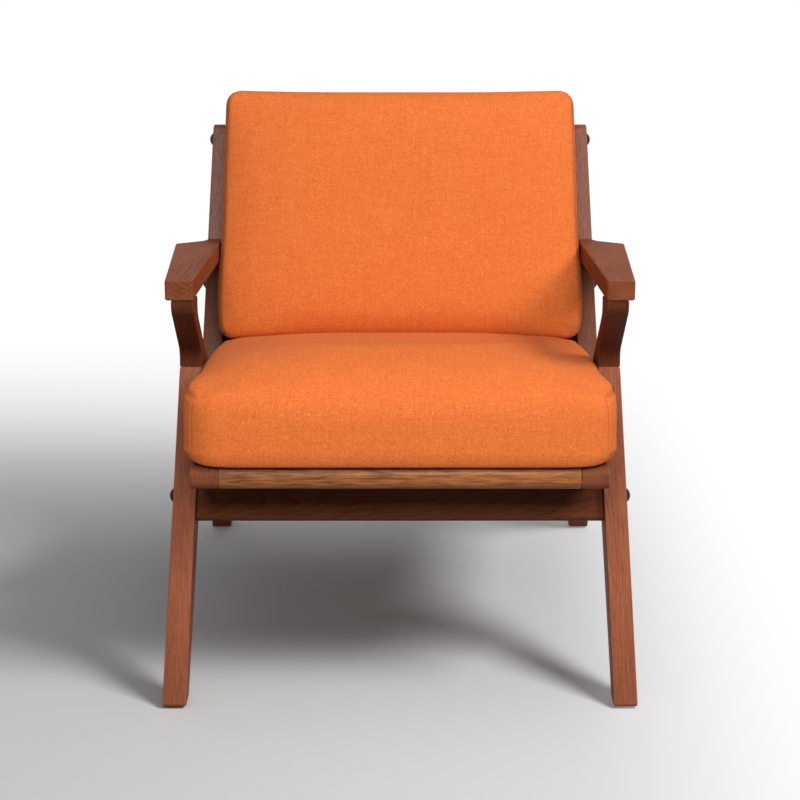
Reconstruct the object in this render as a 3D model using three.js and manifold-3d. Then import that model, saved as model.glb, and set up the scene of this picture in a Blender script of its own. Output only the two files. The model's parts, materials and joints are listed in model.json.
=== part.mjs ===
// Open-arm fireside chair: two leaning side frames with S-curved arm supports and paddle arms,
// a webbed seat frame and a slatted back frame held between them, and two loose cushions.
// Millimetres, +Z up, the front of the chair faces -Y. The origin is on the floor under the middle.
import * as THREE from "three";
import { mergeVertices } from "three/addons/utils/BufferGeometryUtils.js";
import Module from "manifold-3d";

const wasm = await Module();
wasm.setup();

const degrees = THREE.MathUtils.degToRad;

// Clearances and finishing sizes shared by all pieces
const joint = 0.3; // between two faces that meet
const bore = 0.3; // around a pin, tenon or bolt, on each side
const overrun = 20; // how far a cutting tool reaches past what it cuts
const easedEdge = 2.6; // rounding of the long wooden edges
const arcRoomShare = 0.95; // how much of an edge the arcs at its two ends may take up
const rings = { edge: 2, arc: 3, hidden: 8, fine: 16, dome: 3, pillow: 12 };

// Side frame planes: both faces lean in towards the top, the inner one a little less
const side = {
  halfWidth: 340, // outer face from the centre line, at the foot
  footThickness: 34.3,
  outerLean: degrees(2.5),
  innerLean: degrees(2.25),
};

// Front leg, in side view
const leg = {
  lean: degrees(23.1), // front edge, back from the vertical
  rearLean: degrees(28),
  footDepth: 36,
  elbowHeight: 450, // front of the joint with the arm support
  toeRadius: 4,
};

// Seat frame, on a plane that slopes down towards the back
const seat = {
  slope: degrees(8.5),
  front: 17, // behind the front foot's edge
  frontHeight: 326, // underside of the nose
  railThickness: 31,
  railWidth: 39.5,
  sideGap: 1.7, // from the side frames, at the top of the nose
  tail: 26.4, // behind the screws that go into the stretcher
  noseDepth: 48,
  rearDepth: 44,
  noseRadius: 12,
  cornerRadius: 4,
};

// Arm support: upright at its base, swept forward, and upright again under the arm
const support = {
  baseRise: 22, // the front edge is upright this far above the elbow
  frontDrop: 15.9, // and this far below the arm
  rearDrop: 22.1, // the rear edge, below the arm
  baseRadius: 42,
  topRadius: 26,
  rearRadius: 40,
  topDepth: 48,
  frontSetback: 4, // behind the arm's front end
};

// Paddle arm
const arm = {
  front: 84, // lower front edge, behind the front foot's edge
  rise: 127.9, // from the elbow to the underside of the front end
  drop: degrees(5.77), // down towards the back
  thickness: 28.5,
  frontOverhang: 7.2, // outside the outer face; the front is flush with the inner face
  paddleOverhang: 43.7,
  shoulderOverhang: 6.2,
  rearInset: 6.1, // outside the inner face, at the rear end
  paddleSetback: 53.2, // from the widest point to the rear end
  shoulderSetback: 17.2, // from the bend of the shoulder to the rear end
  frontRadius: 4,
  paddleRadius: 7,
  shoulderRadius: 30,
};

// Back post: a boomerang that is post above and rear leg below
const post = {
  recline: degrees(22),
  kneeHeight: 350,
  kneeSetback: 476.7, // front of the knee behind the front foot's edge
  length: 417.5, // knee to top, along the front edge
  topDepth: 50,
  topRadius: 10,
  kneeDepth: 66,
  kneeRadius: 60,
  hollowRadius: 90, // behind the knee
  footSetback: 680,
  footDepth: 36,
  toeRadius: 4,
};

// Side rail between the leg and the post
const rail = { drop: 57, height: 56 }; // the drop is from the elbow's front to the rail's top

// Boards across the chair below the seat
const board = { setback: 13, thickness: 24, bottomRadius: 7, topRadius: 3, easedEnd: 1.5 };
const apron = { height: 71.7 };
const stretcher = { height: 62.1 };

// Tenons cut on the pieces themselves
const railTenon = { thickness: 12, height: 32, legDepth: 24, postDepth: 40 };
const supportTenon = { thickness: 12, length: 28, height: 16 };
const armTenon = { width: 16, height: 13, depth: 24 };
const seatTenon = { length: 22, height: 12 };
const seatTenonDepthShare = 0.5; // of the side rail's width
const backTenon = { thickness: 9, shoulder: 6, depth: 15 };

// Elbow dowels
const dowel = { radius: 4, length: 30, chamfer: 1.2 };
const dowelShares = [0.23, 0.56]; // of the elbow's width, from its front: the support sweeps forward above them

// Through bolts, and the domed caps over their heads
const bolt = {
  shankRadius: 3,
  headRadius: 6.2,
  headLength: 4,
  headSink: 7, // top of the head below the outer face
  grip: 21, // into the piece that it holds
  relief: 2, // bore beyond the tip
  socketRadius: 2.6,
  socketDepth: 2.4,
};
const cap = { radius: 11, height: 7.5, rim: 1.2, stemRadius: 5.5, stem: 5 };

// Back frame, set between the posts
const back = {
  recess: 20, // behind the front edges of the posts
  thickness: 22,
  stileWidth: 40,
  sideGap: 0.5,
  rise: 75.5, // from the knee, along the post's front edge, to where its heights start
  bottom: -45,
  topDrop: 4, // below the top of the post
  topRailHeight: 54,
  bottomRailHeight: 40,
  slatCount: 3,
  slatHeight: 45,
  slatThickness: 14,
  cornerRadius: 4,
  slatRadius: 6,
  upperBoltDrop: 20, // below the top of the post
  lowerBolt: 81.5,
};

// Elastic webbing across the seat
const strap = {
  count: 6,
  width: 50,
  thickness: 2,
  sink: 0.4,
  frontGap: 19, // from the nose rail
  rearGap: 6, // from the rear rail
};
const strapSeatingShare = 0.6; // of the side rail's width

// Wood screws that hold the seat frame down
const screw = {
  radius: 2.2,
  headRadius: 4.4,
  headDepth: 2.6,
  rim: 0.5,
  bite: 18,
  tip: 2,
  sink: 0.4,
  inset: 10, // from the seat frame's outer side
};

// Nailed glides under the feet
const glide = { radius: 9, rimRadius: 7.5, height: 3, pinRadius: 1.4, pinLength: 14 };

// Cushions
const seatCushion = {
  overhang: 5, // past the nose
  rearGap: 4.7, // from the bottom of the back frame
  sideInset: 2.8, // from the seat frame's sides, between the legs
  flare: 10.8, // how much further each side reaches in front of the legs
  flareStart: 50,
  flareEnd: 118,
  cornerRadius: 34,
  baseHeight: 50,
  crownHeight: 88,
};
const backCushion = {
  sink: 9.4, // the underside lies this far below the seat cushion's crown
  topRise: 46, // above the top of the post
  bottomGap: 1, // the front is narrower than the room between the posts, at the bottom
  topLap: 6.5, // and wider than it at the top
  postGap: 3, // the rear of the cushion stays this far inside the posts
  cornerRadius: 34,
  frontDepth: 68,
  rearDepth: 44,
};
const crownShare = 0.45; // how square a cushion is in section on its crowned face: 0 is a box
const baseShare = 0.34; // and on the face that rests on the frame

// Finishes
const finish = {
  stain: { color: 0x7a4630, roughness: 0.5, metalness: 0 },
  nose: { color: 0x7b4a28, roughness: 0.42, metalness: 0 },
  cap: { color: 0x4a2319, roughness: 0.4, metalness: 0 },
  fabric: { color: 0xe0692f, roughness: 0.95, metalness: 0 },
  webbing: { color: 0x2b2724, roughness: 0.9, metalness: 0 },
  steel: { color: 0xa9abad, roughness: 0.35, metalness: 0.9 },
  glide: { color: 0xe9e7e2, roughness: 0.5, metalness: 0 },
  beech: { color: 0xc9a06e, roughness: 0.7, metalness: 0 },
};

// Side view points are 2-D vectors that hold Y and Z. Corners are pairs of a point and a radius.
const at = (y, z) => new THREE.Vector2(y, z);
const rising = (lean) => at(Math.sin(lean), Math.cos(lean));
const falling = (slope) => at(Math.cos(slope), -Math.sin(slope));
const level = at(1, 0);
const upright = at(0, 1);
const shifted = (point, direction, distance) => point.clone().addScaledVector(direction, distance);
const square = (points) => points.map((point) => [point, 0]);

// Where the line through a along alongA meets the line through b along alongB
function meet(a, alongA, b, alongB) {
  const between = b.clone().sub(a);
  return shifted(a, alongA, between.cross(alongB) / alongA.cross(alongB));
}

// The faces of a side frame at a height
function sideAt(height) {
  const outer = side.halfWidth - height * Math.tan(side.outerLean);
  const inner = side.halfWidth - side.footThickness - height * Math.tan(side.innerLean);
  return { outer, inner, middle: (outer + inner) / 2, thickness: outer - inner };
}

function edgesAt(corners, i) {
  const corner = corners[i][0];
  const arriving = corner.clone().sub(corners.at(i - 1)[0]).normalize();
  const leaving = corners[(i + 1) % corners.length][0].clone().sub(corner).normalize();
  return { arriving, leaving, turn: Math.atan2(arriving.cross(leaving), arriving.dot(leaving)) };
}

// How far each corner's arc reaches along its edges, less where two arcs would meet on an edge
function arcReaches(corners) {
  const wanted = corners.map(([, radius], i) => {
    return radius * Math.tan(Math.abs(edgesAt(corners, i).turn) / 2);
  });
  const eased = corners.map(([corner], i) => {
    const next = (i + 1) % corners.length;
    const both = wanted[i] + wanted[next];
    const sharpEnds = [i, next].filter((end) => !wanted[end]).length;
    const room = arcRoomShare * corner.distanceTo(corners[next][0]) - sharpEnds * easedEdge;
    return both ? THREE.MathUtils.clamp(room / both, 0, 1) : 1;
  });
  return wanted.map((reach, i) => reach * Math.min(eased[i], eased.at(i - 1)));
}

// A closed outline with true arcs at the rounded corners
function outline(corners) {
  const shape = new THREE.Shape();
  const reaches = arcReaches(corners);
  corners.forEach(([corner], i) => {
    const { arriving, leaving, turn } = edgesAt(corners, i);
    const start = shifted(corner, arriving, -reaches[i]);
    if (i) shape.lineTo(start.x, start.y);
    else shape.moveTo(start.x, start.y);
    if (!reaches[i]) return;
    const radius = reaches[i] / Math.tan(Math.abs(turn) / 2);
    const inwards = at(-arriving.y, arriving.x).multiplyScalar(Math.sign(turn));
    const centre = shifted(start, inwards, radius);
    const from = Math.atan2(start.y - centre.y, start.x - centre.x);
    shape.absarc(centre.x, centre.y, radius, from, from + turn, turn < 0);
  });
  shape.closePath();
  return shape;
}

// The same anticlockwise corners, moved outwards by a distance
function grown(corners, distance) {
  return corners.map(([corner, radius], i) => {
    const { arriving, leaving, turn } = edgesAt(corners, i);
    const first = shifted(corner, at(arriving.y, -arriving.x), distance);
    const second = shifted(corner, at(leaving.y, -leaving.x), distance);
    const rounded = turn > 0 ? radius + distance : radius - distance;
    return [meet(first, arriving, second, leaving), radius ? rounded : 0];
  });
}

const sideways = new THREE.Matrix4().makeBasis(
  new THREE.Vector3(0, 1, 0),
  new THREE.Vector3(0, 0, 1),
  new THREE.Vector3(1, 0, 0),
);

function thickened(corners, thickness, eased) {
  const geometry = new THREE.ExtrudeGeometry(outline(corners), {
    depth: thickness - 2 * eased,
    curveSegments: rings.arc,
    bevelEnabled: eased > 0,
    bevelThickness: eased,
    bevelSize: eased,
    bevelOffset: -eased,
    bevelSegments: rings.edge,
  });
  return geometry.translate(0, 0, eased);
}

// A bar over an outline of the side view, from one X to another; either may depend on the point
function bar(corners, nearFace, farFace, eased = 0) {
  const width = side.halfWidth;
  const geometry = thickened(corners, width, eased).applyMatrix4(sideways);
  const position = geometry.getAttribute("position");
  const point = new THREE.Vector3();
  for (let i = 0; i < position.count; i++) {
    point.fromBufferAttribute(position, i);
    const near = nearFace(point);
    const far = farFace(point);
    const fromNear = point.x;
    const fromFar = width - point.x;
    const x = fromNear < fromFar ? near + fromNear : far - fromFar;
    position.setX(i, x);
  }
  return geometry;
}

// Boolean work on closed geometries
function solid(geometry) {
  const bare = geometry.clone();
  bare.deleteAttribute("normal");
  bare.deleteAttribute("uv");
  const merged = mergeVertices(bare);
  const triVerts = new Uint32Array(merged.index.array);
  const vertProperties = merged.getAttribute("position").array;
  return new wasm.Manifold(new wasm.Mesh({ numProp: 3, vertProperties, triVerts }));
}

function geometryOf(manifold) {
  const made = manifold.getMesh();
  const geometry = new THREE.BufferGeometry();
  geometry.setAttribute("position", new THREE.BufferAttribute(made.vertProperties, made.numProp));
  geometry.setIndex(new THREE.BufferAttribute(made.triVerts, 1));
  geometry.computeVertexNormals();
  return geometry;
}

const cut = (geometry, tools) =>
  geometryOf(tools.reduce((whole, tool) => whole.subtract(solid(tool)), solid(geometry)));
const join = (geometry, additions) =>
  geometryOf(additions.reduce((whole, part) => whole.add(solid(part)), solid(geometry)));

// The mirror image on the other side of the chair
function reflected(geometry) {
  const image = geometry.index ? geometry.toNonIndexed() : geometry.clone();
  image.scale(-1, 1, 1);
  const position = image.getAttribute("position");
  const first = new THREE.Vector3();
  const last = new THREE.Vector3();
  for (let i = 0; i < position.count; i += 3) {
    first.fromBufferAttribute(position, i);
    last.fromBufferAttribute(position, i + 2);
    position.setXYZ(i, last.x, last.y, last.z);
    position.setXYZ(i + 2, first.x, first.y, first.z);
  }
  return image;
}

const bothSides = (tools) => tools.flatMap((tool) => [tool, reflected(tool)]);

function turnedProfile(profile, segments) {
  return new THREE.LatheGeometry(profile.map(([radius, height]) => at(radius, height)), segments);
}

function mesh(name, geometry, look) {
  const material = new THREE.MeshStandardMaterial({ ...finish[look], flatShading: true });
  const made = new THREE.Mesh(geometry, material);
  made.name = name;
  return made;
}

// Lines of the side view that several pieces share
const seatAlong = falling(seat.slope);
const seatUp = rising(seat.slope);
const armAlong = falling(arm.drop);
const armUp = rising(arm.drop);
const legUp = rising(leg.lean);
const legInto = falling(leg.lean);
const postUp = rising(post.recline);
const postInto = falling(post.recline);

const toe = at(0, 0);
const heel = at(leg.footDepth, 0);
const legRearUp = rising(leg.rearLean);
const elbowFront = meet(toe, legUp, at(0, leg.elbowHeight), level);
const elbowRear = meet(heel, legRearUp, elbowFront, seatAlong);

const armUnder = at(arm.front, leg.elbowHeight + arm.rise);
const seatUnder = at(seat.front, seat.frontHeight);

const knee = at(post.kneeSetback, post.kneeHeight);
const postTop = shifted(knee, postUp, post.length);
const rearToe = at(post.footSetback, 0);
const rearHeel = at(post.footSetback + post.footDepth, 0);
const rearLegUp = knee.clone().sub(rearToe).normalize();
const rearLegInto = at(rearLegUp.y, -rearLegUp.x);
const kneeInto = postInto.clone().add(rearLegInto).normalize();

const armLength = meet(armUnder, armAlong, knee, postUp).distanceTo(armUnder);
const armEndHeight = shifted(armUnder, armAlong, armLength).y;

const legCorners = [
  [toe, leg.toeRadius],
  [heel, leg.toeRadius],
  [elbowRear, 0],
  [elbowFront, 0],
];

const postCorners = [
  [rearToe, post.toeRadius],
  [rearHeel, post.toeRadius],
  [shifted(knee, kneeInto, post.kneeDepth), post.hollowRadius],
  [shifted(postTop, postInto, post.topDepth), post.topRadius],
  [postTop, post.topRadius],
  [knee, post.kneeRadius],
];

const supportTopFront = at(arm.front + support.frontSetback, 0);
const supportTopRear = shifted(supportTopFront, level, support.topDepth);

function supportCorners() {
  const baseFront = shifted(elbowFront, seatUp, joint);
  const baseRear = shifted(elbowRear, seatUp, joint);
  const armSeat = shifted(armUnder, armUp, -joint);
  const topRear = meet(supportTopRear, upright, armSeat, armAlong);
  const topFront = meet(supportTopFront, upright, armSeat, armAlong);
  return [
    [baseFront, 0],
    [baseRear, 0],
    [shifted(topRear, upright, -support.rearDrop), support.rearRadius],
    [topRear, 0],
    [topFront, 0],
    [shifted(topFront, upright, -support.frontDrop), support.topRadius],
    [shifted(baseFront, upright, support.baseRise), support.baseRadius],
  ];
}

// A piece of the side frame at its full thickness, a rib in the middle of it, and a wide cutter
const innerFace = (point) => sideAt(point.z).inner;
const outerFace = (point) => sideAt(point.z).outer;
const fullThickness = (corners) => bar(corners, innerFace, outerFace, easedEdge);

function middleRib(corners, thickness) {
  const near = (point) => sideAt(point.z).middle - thickness / 2;
  const far = (point) => sideAt(point.z).middle + thickness / 2;
  return bar(corners, near, far);
}

function wideCutter(corners) {
  const near = (point) => innerFace(point) - overrun;
  const far = (point) => outerFace(point) + overrun;
  return bar(grown(corners, joint), near, far);
}

// All that lies in front of the leg's rear edge, and all that lies behind the post's front edge
const legTopRear = shifted(elbowRear, legRearUp, post.length);
const inFrontOfLeg = wideCutter(
  square([
    shifted(heel, level, -post.footSetback),
    heel,
    legTopRear,
    shifted(legTopRear, level, -post.footSetback),
  ]),
);
const behindPost = wideCutter([
  [rearToe, 0],
  [shifted(rearToe, level, post.footSetback), 0],
  [shifted(postTop, level, post.footSetback), 0],
  [postTop, 0],
  [knee, post.kneeRadius],
]);

// A straight band along a direction, between two distances along it and two distances above it
function band(origin, along, start, end, low, high) {
  const up = at(-along.y, along.x);
  const corner = (far, tall) => shifted(shifted(origin, along, far), up, tall);
  return square([corner(start, low), corner(end, low), corner(end, high), corner(start, high)]);
}

// Side rail: a sloping board cut to the leg and the post, with a tenon right through it
const railStart = meet(heel, legRearUp, at(0, leg.elbowHeight - rail.drop), level);
const railLength = meet(railStart, seatAlong, knee, postUp).distanceTo(railStart);
const legUndercut = (rail.height / 2) * Math.tan(leg.rearLean - seat.slope);
const railTenonCorners = band(
  railStart,
  seatAlong,
  -legUndercut - railTenon.legDepth,
  railLength + railTenon.postDepth,
  -(rail.height + railTenon.height) / 2,
  -(rail.height - railTenon.height) / 2,
);
const railMortise = middleRib(grown(railTenonCorners, bore), railTenon.thickness + 2 * bore);

function sideRail() {
  const reach = rail.height;
  const rough = band(railStart, seatAlong, -reach, railLength + reach, -rail.height, 0);
  const trimmed = cut(fullThickness(rough), [inFrontOfLeg, behindPost]);
  return join(trimmed, [middleRib(railTenonCorners, railTenon.thickness)]);
}

// Tenon at the top of the support, up into the arm
function supportTenonRib(clearance) {
  const middle = (supportTopFront.x + supportTopRear.x) / 2;
  const foot = meet(at(middle, 0), upright, armUnder, armAlong);
  const half = supportTenon.length / 2 + clearance;
  const high = supportTenon.height + clearance;
  const corners = band(foot, armAlong, -half, half, -supportTenon.height, high);
  return middleRib(corners, supportTenon.thickness + 2 * clearance);
}

// Elbow dowels, square to the joint between leg and support
const dowelPlaces = dowelShares.map((share) => elbowFront.clone().lerp(elbowRear, share));

function dowelPin(clearance) {
  const half = dowel.length / 2 + clearance;
  const radius = dowel.radius + clearance;
  const end = radius - dowel.chamfer;
  const low = dowel.chamfer - half;
  const high = half - dowel.chamfer;
  const profile = [[0, -half], [end, -half], [radius, low], [radius, high], [end, half], [0, half]];
  return turnedProfile(profile, rings.hidden).rotateX(Math.PI / 2 - seat.slope);
}

const inMiddle = (geometry, place) =>
  geometry.translate(sideAt(place.y).middle, place.x, place.y);
const dowelBores = dowelPlaces.map((place) => inMiddle(dowelPin(bore), place));

// Boards that lean with the legs that carry them, with their tops under the seat frame
const boardSeat = shifted(seatUnder, seatUp, -joint);

function boardCorners(start, along, into, height) {
  const front = shifted(start, into, board.setback);
  const topFront = meet(front, along, boardSeat, seatAlong);
  const lowFront = shifted(topFront, along, -height);
  const lowRear = shifted(lowFront, into, board.thickness);
  return [
    [lowFront, board.bottomRadius],
    [lowRear, board.bottomRadius],
    [meet(lowRear, along, boardSeat, seatAlong), board.topRadius],
    [topFront, board.topRadius],
  ];
}

const apronCorners = boardCorners(toe, legUp, legInto, apron.height);
const stretcherCorners = boardCorners(rearToe, rearLegUp, rearLegInto, stretcher.height);

function centreOf(corners) {
  const sum = corners.reduce((total, [corner]) => total.add(corner), at(0, 0));
  return sum.divideScalar(corners.length);
}

// Bolts lie square to the outer face of the side frame, and their own origin is on it
const backOrigin = shifted(knee, postUp, back.rise);
const backTop = post.length - back.rise - back.topDrop;
const upperBolt = post.length - back.rise - back.upperBoltDrop;
const stileMiddle = shifted(backOrigin, postInto, back.recess + back.thickness / 2);
const boltPlaces = {
  apron: centreOf(apronCorners),
  stretcher: centreOf(stretcherCorners),
  lower_back: shifted(stileMiddle, postUp, back.lowerBolt),
  upper_back: shifted(stileMiddle, postUp, upperBolt),
};
const axisOutwards = (geometry) => geometry.rotateZ(-Math.PI / 2);

function boltBody(place) {
  const reach = sideAt(place.y).thickness + bolt.grip;
  const headUnder = bolt.headSink + bolt.headLength;
  const socketFloor = bolt.headSink + bolt.socketDepth;
  const profile = [
    [0, -reach],
    [bolt.shankRadius, -reach],
    [bolt.shankRadius, -headUnder],
    [bolt.headRadius, -headUnder],
    [bolt.headRadius, -bolt.headSink],
    [bolt.socketRadius, -bolt.headSink],
    [bolt.socketRadius, -socketFloor],
    [0, -socketFloor],
  ];
  return axisOutwards(turnedProfile(profile, rings.hidden));
}

function boltBore(place) {
  const { outer, thickness } = sideAt(place.y);
  const reach = thickness + bolt.grip + bolt.relief;
  const shank = bolt.shankRadius + bore;
  const head = bolt.headRadius + bore;
  const step = bolt.headSink + bolt.headLength + bore;
  const profile = [
    [0, -reach],
    [shank, -reach],
    [shank, -step],
    [head, -step],
    [head, overrun],
    [0, overrun],
  ];
  const tool = axisOutwards(turnedProfile(profile, rings.hidden));
  return tool.rotateY(-side.outerLean).translate(outer, place.x, place.y);
}

const boltBores = {};
for (const [role, place] of Object.entries(boltPlaces)) boltBores[role] = boltBore(place);

function boltCap() {
  const rise = cap.height - cap.rim;
  const domeRadius = (cap.radius ** 2 + rise ** 2) / (2 * rise);
  const sweep = Math.asin(cap.radius / domeRadius);
  const profile = [
    [0, -cap.stem],
    [cap.stemRadius, -cap.stem],
    [cap.stemRadius, joint],
    [cap.radius, joint],
  ];
  for (let step = 0; step <= rings.dome; step++) {
    const angle = sweep * (1 - step / rings.dome);
    const height = cap.height - domeRadius * (1 - Math.cos(angle));
    profile.push([domeRadius * Math.sin(angle), height]);
  }
  return axisOutwards(turnedProfile(profile, rings.fine));
}

// Glides
const glidePlaces = {
  front: toe.clone().lerp(heel, 1 / 2),
  rear: rearToe.clone().lerp(rearHeel, 1 / 2),
};

function glideNail() {
  const profile = [
    [0, -glide.height],
    [glide.rimRadius, -glide.height],
    [glide.radius, -glide.height / 2],
    [glide.radius, -joint],
    [glide.pinRadius, -joint],
    [glide.pinRadius, glide.pinLength],
    [0, glide.pinLength],
  ];
  return turnedProfile(profile, rings.fine).rotateX(Math.PI / 2);
}

function glideBore(place) {
  const radius = glide.pinRadius + bore;
  const top = glide.pinLength + bore;
  const profile = [[0, -overrun], [radius, -overrun], [radius, top], [0, top]];
  return inMiddle(turnedProfile(profile, rings.hidden).rotateX(Math.PI / 2), place);
}

// Paddle arm, drawn in plan and laid on its slope
function armPlanCorners() {
  const front = sideAt(armUnder.y);
  const rear = sideAt(armEndHeight);
  const frontInner = at(front.inner, 0);
  const rearInner = at(rear.inner + arm.rearInset, armLength);
  const rearOuter = at(rear.outer, armLength);
  const widest = at(rear.outer + arm.paddleOverhang, armLength - arm.paddleSetback);
  const bend = at(rear.outer + arm.shoulderOverhang, armLength - arm.shoulderSetback);
  const rough = at(0, armLength + arm.thickness);
  return [
    [frontInner, arm.frontRadius],
    [at(front.outer + arm.frontOverhang, 0), arm.frontRadius],
    [widest, arm.paddleRadius],
    [bend, arm.shoulderRadius],
    [meet(bend, rearOuter.clone().sub(bend), rough, level), 0],
    [meet(rearInner, rearInner.clone().sub(frontInner), rough, level), 0],
  ];
}

const laidOnArm = (geometry) =>
  geometry.rotateX(-arm.drop).translate(0, armUnder.x, armUnder.y);

// Tenon at the rear end of the arm, back into the post
function armTenonBlock(clearance) {
  const length = 2 * armTenon.depth + clearance;
  const width = armTenon.width + 2 * clearance;
  const height = armTenon.height + 2 * clearance;
  const rear = sideAt(armEndHeight);
  const middle = (rear.inner + arm.rearInset + rear.outer) / 2;
  const start = armLength - armTenon.depth;
  const tenon = new THREE.BoxGeometry(width, length, height);
  return laidOnArm(tenon.translate(middle, start + length / 2, arm.thickness / 2));
}

function armrest() {
  const blank = laidOnArm(thickened(armPlanCorners(), arm.thickness, easedEdge));
  const trimmed = cut(blank, [behindPost, supportTenonRib(bore)]);
  return join(trimmed, [armTenonBlock(0)]);
}

// The pieces of one side frame, as drawn for the right side
const frameGeometry = {
  front_leg: cut(fullThickness(legCorners), [
    railMortise,
    ...dowelBores,
    boltBores.apron,
    glideBore(glidePlaces.front),
  ]),
  arm_support: cut(join(fullThickness(supportCorners()), [supportTenonRib(0)]), dowelBores),
  armrest: armrest(),
  back_post: cut(fullThickness(postCorners), [
    railMortise,
    armTenonBlock(bore),
    boltBores.stretcher,
    boltBores.lower_back,
    boltBores.upper_back,
    glideBore(glidePlaces.rear),
  ]),
  side_rail: sideRail(),
};

function sideFrame(hand) {
  const group = new THREE.Group();
  for (const [piece, geometry] of Object.entries(frameGeometry)) {
    group.add(mesh(hand + "_" + piece, geometry, "stain"));
  }
  dowelPlaces.forEach((place, i) => {
    const pin = mesh(hand + "_elbow_dowel_" + (i + 1), dowelPin(0), "beech");
    pin.position.set(sideAt(place.y).middle, place.x, place.y);
    group.add(pin);
  });
  for (const [role, place] of Object.entries(boltPlaces)) {
    const fastener = new THREE.Group();
    fastener.position.set(sideAt(place.y).outer, place.x, place.y);
    fastener.rotation.y = -side.outerLean;
    fastener.add(mesh(hand + "_" + role + "_bolt", boltBody(place), "steel"));
    fastener.add(mesh(hand + "_" + role + "_bolt_cap", boltCap(), "cap"));
    group.add(fastener);
  }
  for (const [end, place] of Object.entries(glidePlaces)) {
    const foot = mesh(hand + "_" + end + "_glide", glideNail(), "glide");
    foot.position.set(sideAt(place.y).middle, place.x, place.y);
    group.add(foot);
  }
  return group;
}

// Screws run square to the seat plane, each through the middle of the board that it bites
const seatHalf = sideAt(seat.frontHeight + seat.railThickness).inner - seat.sideGap;
const screwAcross = seatHalf - screw.inset;

function screwSetback(start, along, into) {
  const middle = shifted(start, into, board.setback + board.thickness / 2);
  const halfBite = shifted(seatUnder, seatUp, -screw.bite / 2);
  return meet(middle, along, halfBite, seatAlong).sub(halfBite).dot(seatAlong);
}

const screwSetbacks = {
  front: screwSetback(toe, legUp, legInto),
  rear: screwSetback(rearToe, rearLegUp, rearLegInto),
};

const seatDepth = screwSetbacks.rear + seat.tail;

function seatScrew(clearance, rise) {
  const top = seat.railThickness - screw.sink;
  const neck = top - screw.rim - screw.headDepth;
  const shank = screw.radius + clearance;
  const head = screw.headRadius + clearance;
  const profile = [
    [0, -screw.bite - clearance],
    [shank, screw.tip - screw.bite - clearance],
    [shank, neck],
    [head, top - screw.rim],
    [head, top + rise],
    [0, top + rise],
  ];
  return turnedProfile(profile, rings.hidden).rotateX(Math.PI / 2);
}

const screwBores = Object.values(screwSetbacks).map((setback) =>
  seatScrew(bore, overrun).translate(screwAcross, setback, 0),
);
const onSeatFrame = (geometry) =>
  geometry.rotateX(-seat.slope).translate(0, seatUnder.x, seatUnder.y);
const screwBoresInPlace = screwBores.map((tool) => onSeatFrame(tool.clone()));

function crossBoard(name, corners, boltTool, screwTool) {
  const far = (point) => innerFace(point) - joint;
  const near = (point) => -far(point);
  const plain = bar(corners, near, far, board.easedEnd);
  return mesh(name, cut(plain, bothSides([boltTool, screwTool])), "stain");
}

// Seat frame, in its own plane: y runs back from the nose and z up from its underside
const seatInner = seatHalf - seat.railWidth;

const noseCorners = (depth) => [
  [at(0, 0), seat.noseRadius],
  [at(depth, 0), seat.cornerRadius],
  [at(depth, seat.railThickness), seat.cornerRadius],
  [at(0, seat.railThickness), seat.noseRadius],
];

const rearCorners = [
  [at(seatDepth - seat.rearDepth, 0), seat.cornerRadius],
  [at(seatDepth, 0), seat.cornerRadius],
  [at(seatDepth, seat.railThickness), seat.cornerRadius],
  [at(seatDepth - seat.rearDepth, seat.railThickness), seat.cornerRadius],
];

function seatTenonBar(middle, clearance) {
  const reach = seatInner + seatTenonDepthShare * seat.railWidth + clearance;
  const length = seatTenon.length + 2 * clearance;
  const height = seatTenon.height + 2 * clearance;
  const tenon = new THREE.BoxGeometry(2 * reach, length, height);
  return tenon.translate(0, middle, seat.railThickness / 2);
}

const tenonMiddles = {
  nose: seat.noseDepth / 2,
  rear: seatDepth - seat.rearDepth / 2,
};
const firstStrap = seat.noseDepth + strap.frontGap + strap.width / 2;
const lastStrap = seatDepth - seat.rearDepth - strap.rearGap - strap.width / 2;
const strapPitch = (lastStrap - firstStrap) / (strap.count - 1);
const strapSetbacks = Array.from({ length: strap.count }, (_, i) => firstStrap + i * strapPitch);

function strapBand(setback, clearance) {
  const reach = seatInner + strapSeatingShare * seat.railWidth + clearance;
  const width = strap.width + 2 * clearance;
  const low = seat.railThickness - strap.sink - strap.thickness - clearance;
  const high = clearance ? seat.railThickness + overrun : seat.railThickness - strap.sink;
  const geometry = new THREE.BoxGeometry(2 * reach, width, high - low);
  return geometry.translate(0, setback, (low + high) / 2);
}

function seatSideRail() {
  const plain = bar(noseCorners(seatDepth), () => seatInner, () => seatHalf, easedEdge);
  return cut(plain, [
    ...Object.values(tenonMiddles).map((middle) => seatTenonBar(middle, bore)),
    ...strapSetbacks.map((setback) => strapBand(setback, joint)),
    ...screwBores,
  ]);
}

function seatCrossRail(name, corners, middle, look) {
  const reach = seatInner - joint;
  const plain = bar(corners, () => -reach, () => reach, board.easedEnd);
  return mesh(name, join(plain, [seatTenonBar(middle, 0)]), look);
}

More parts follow.
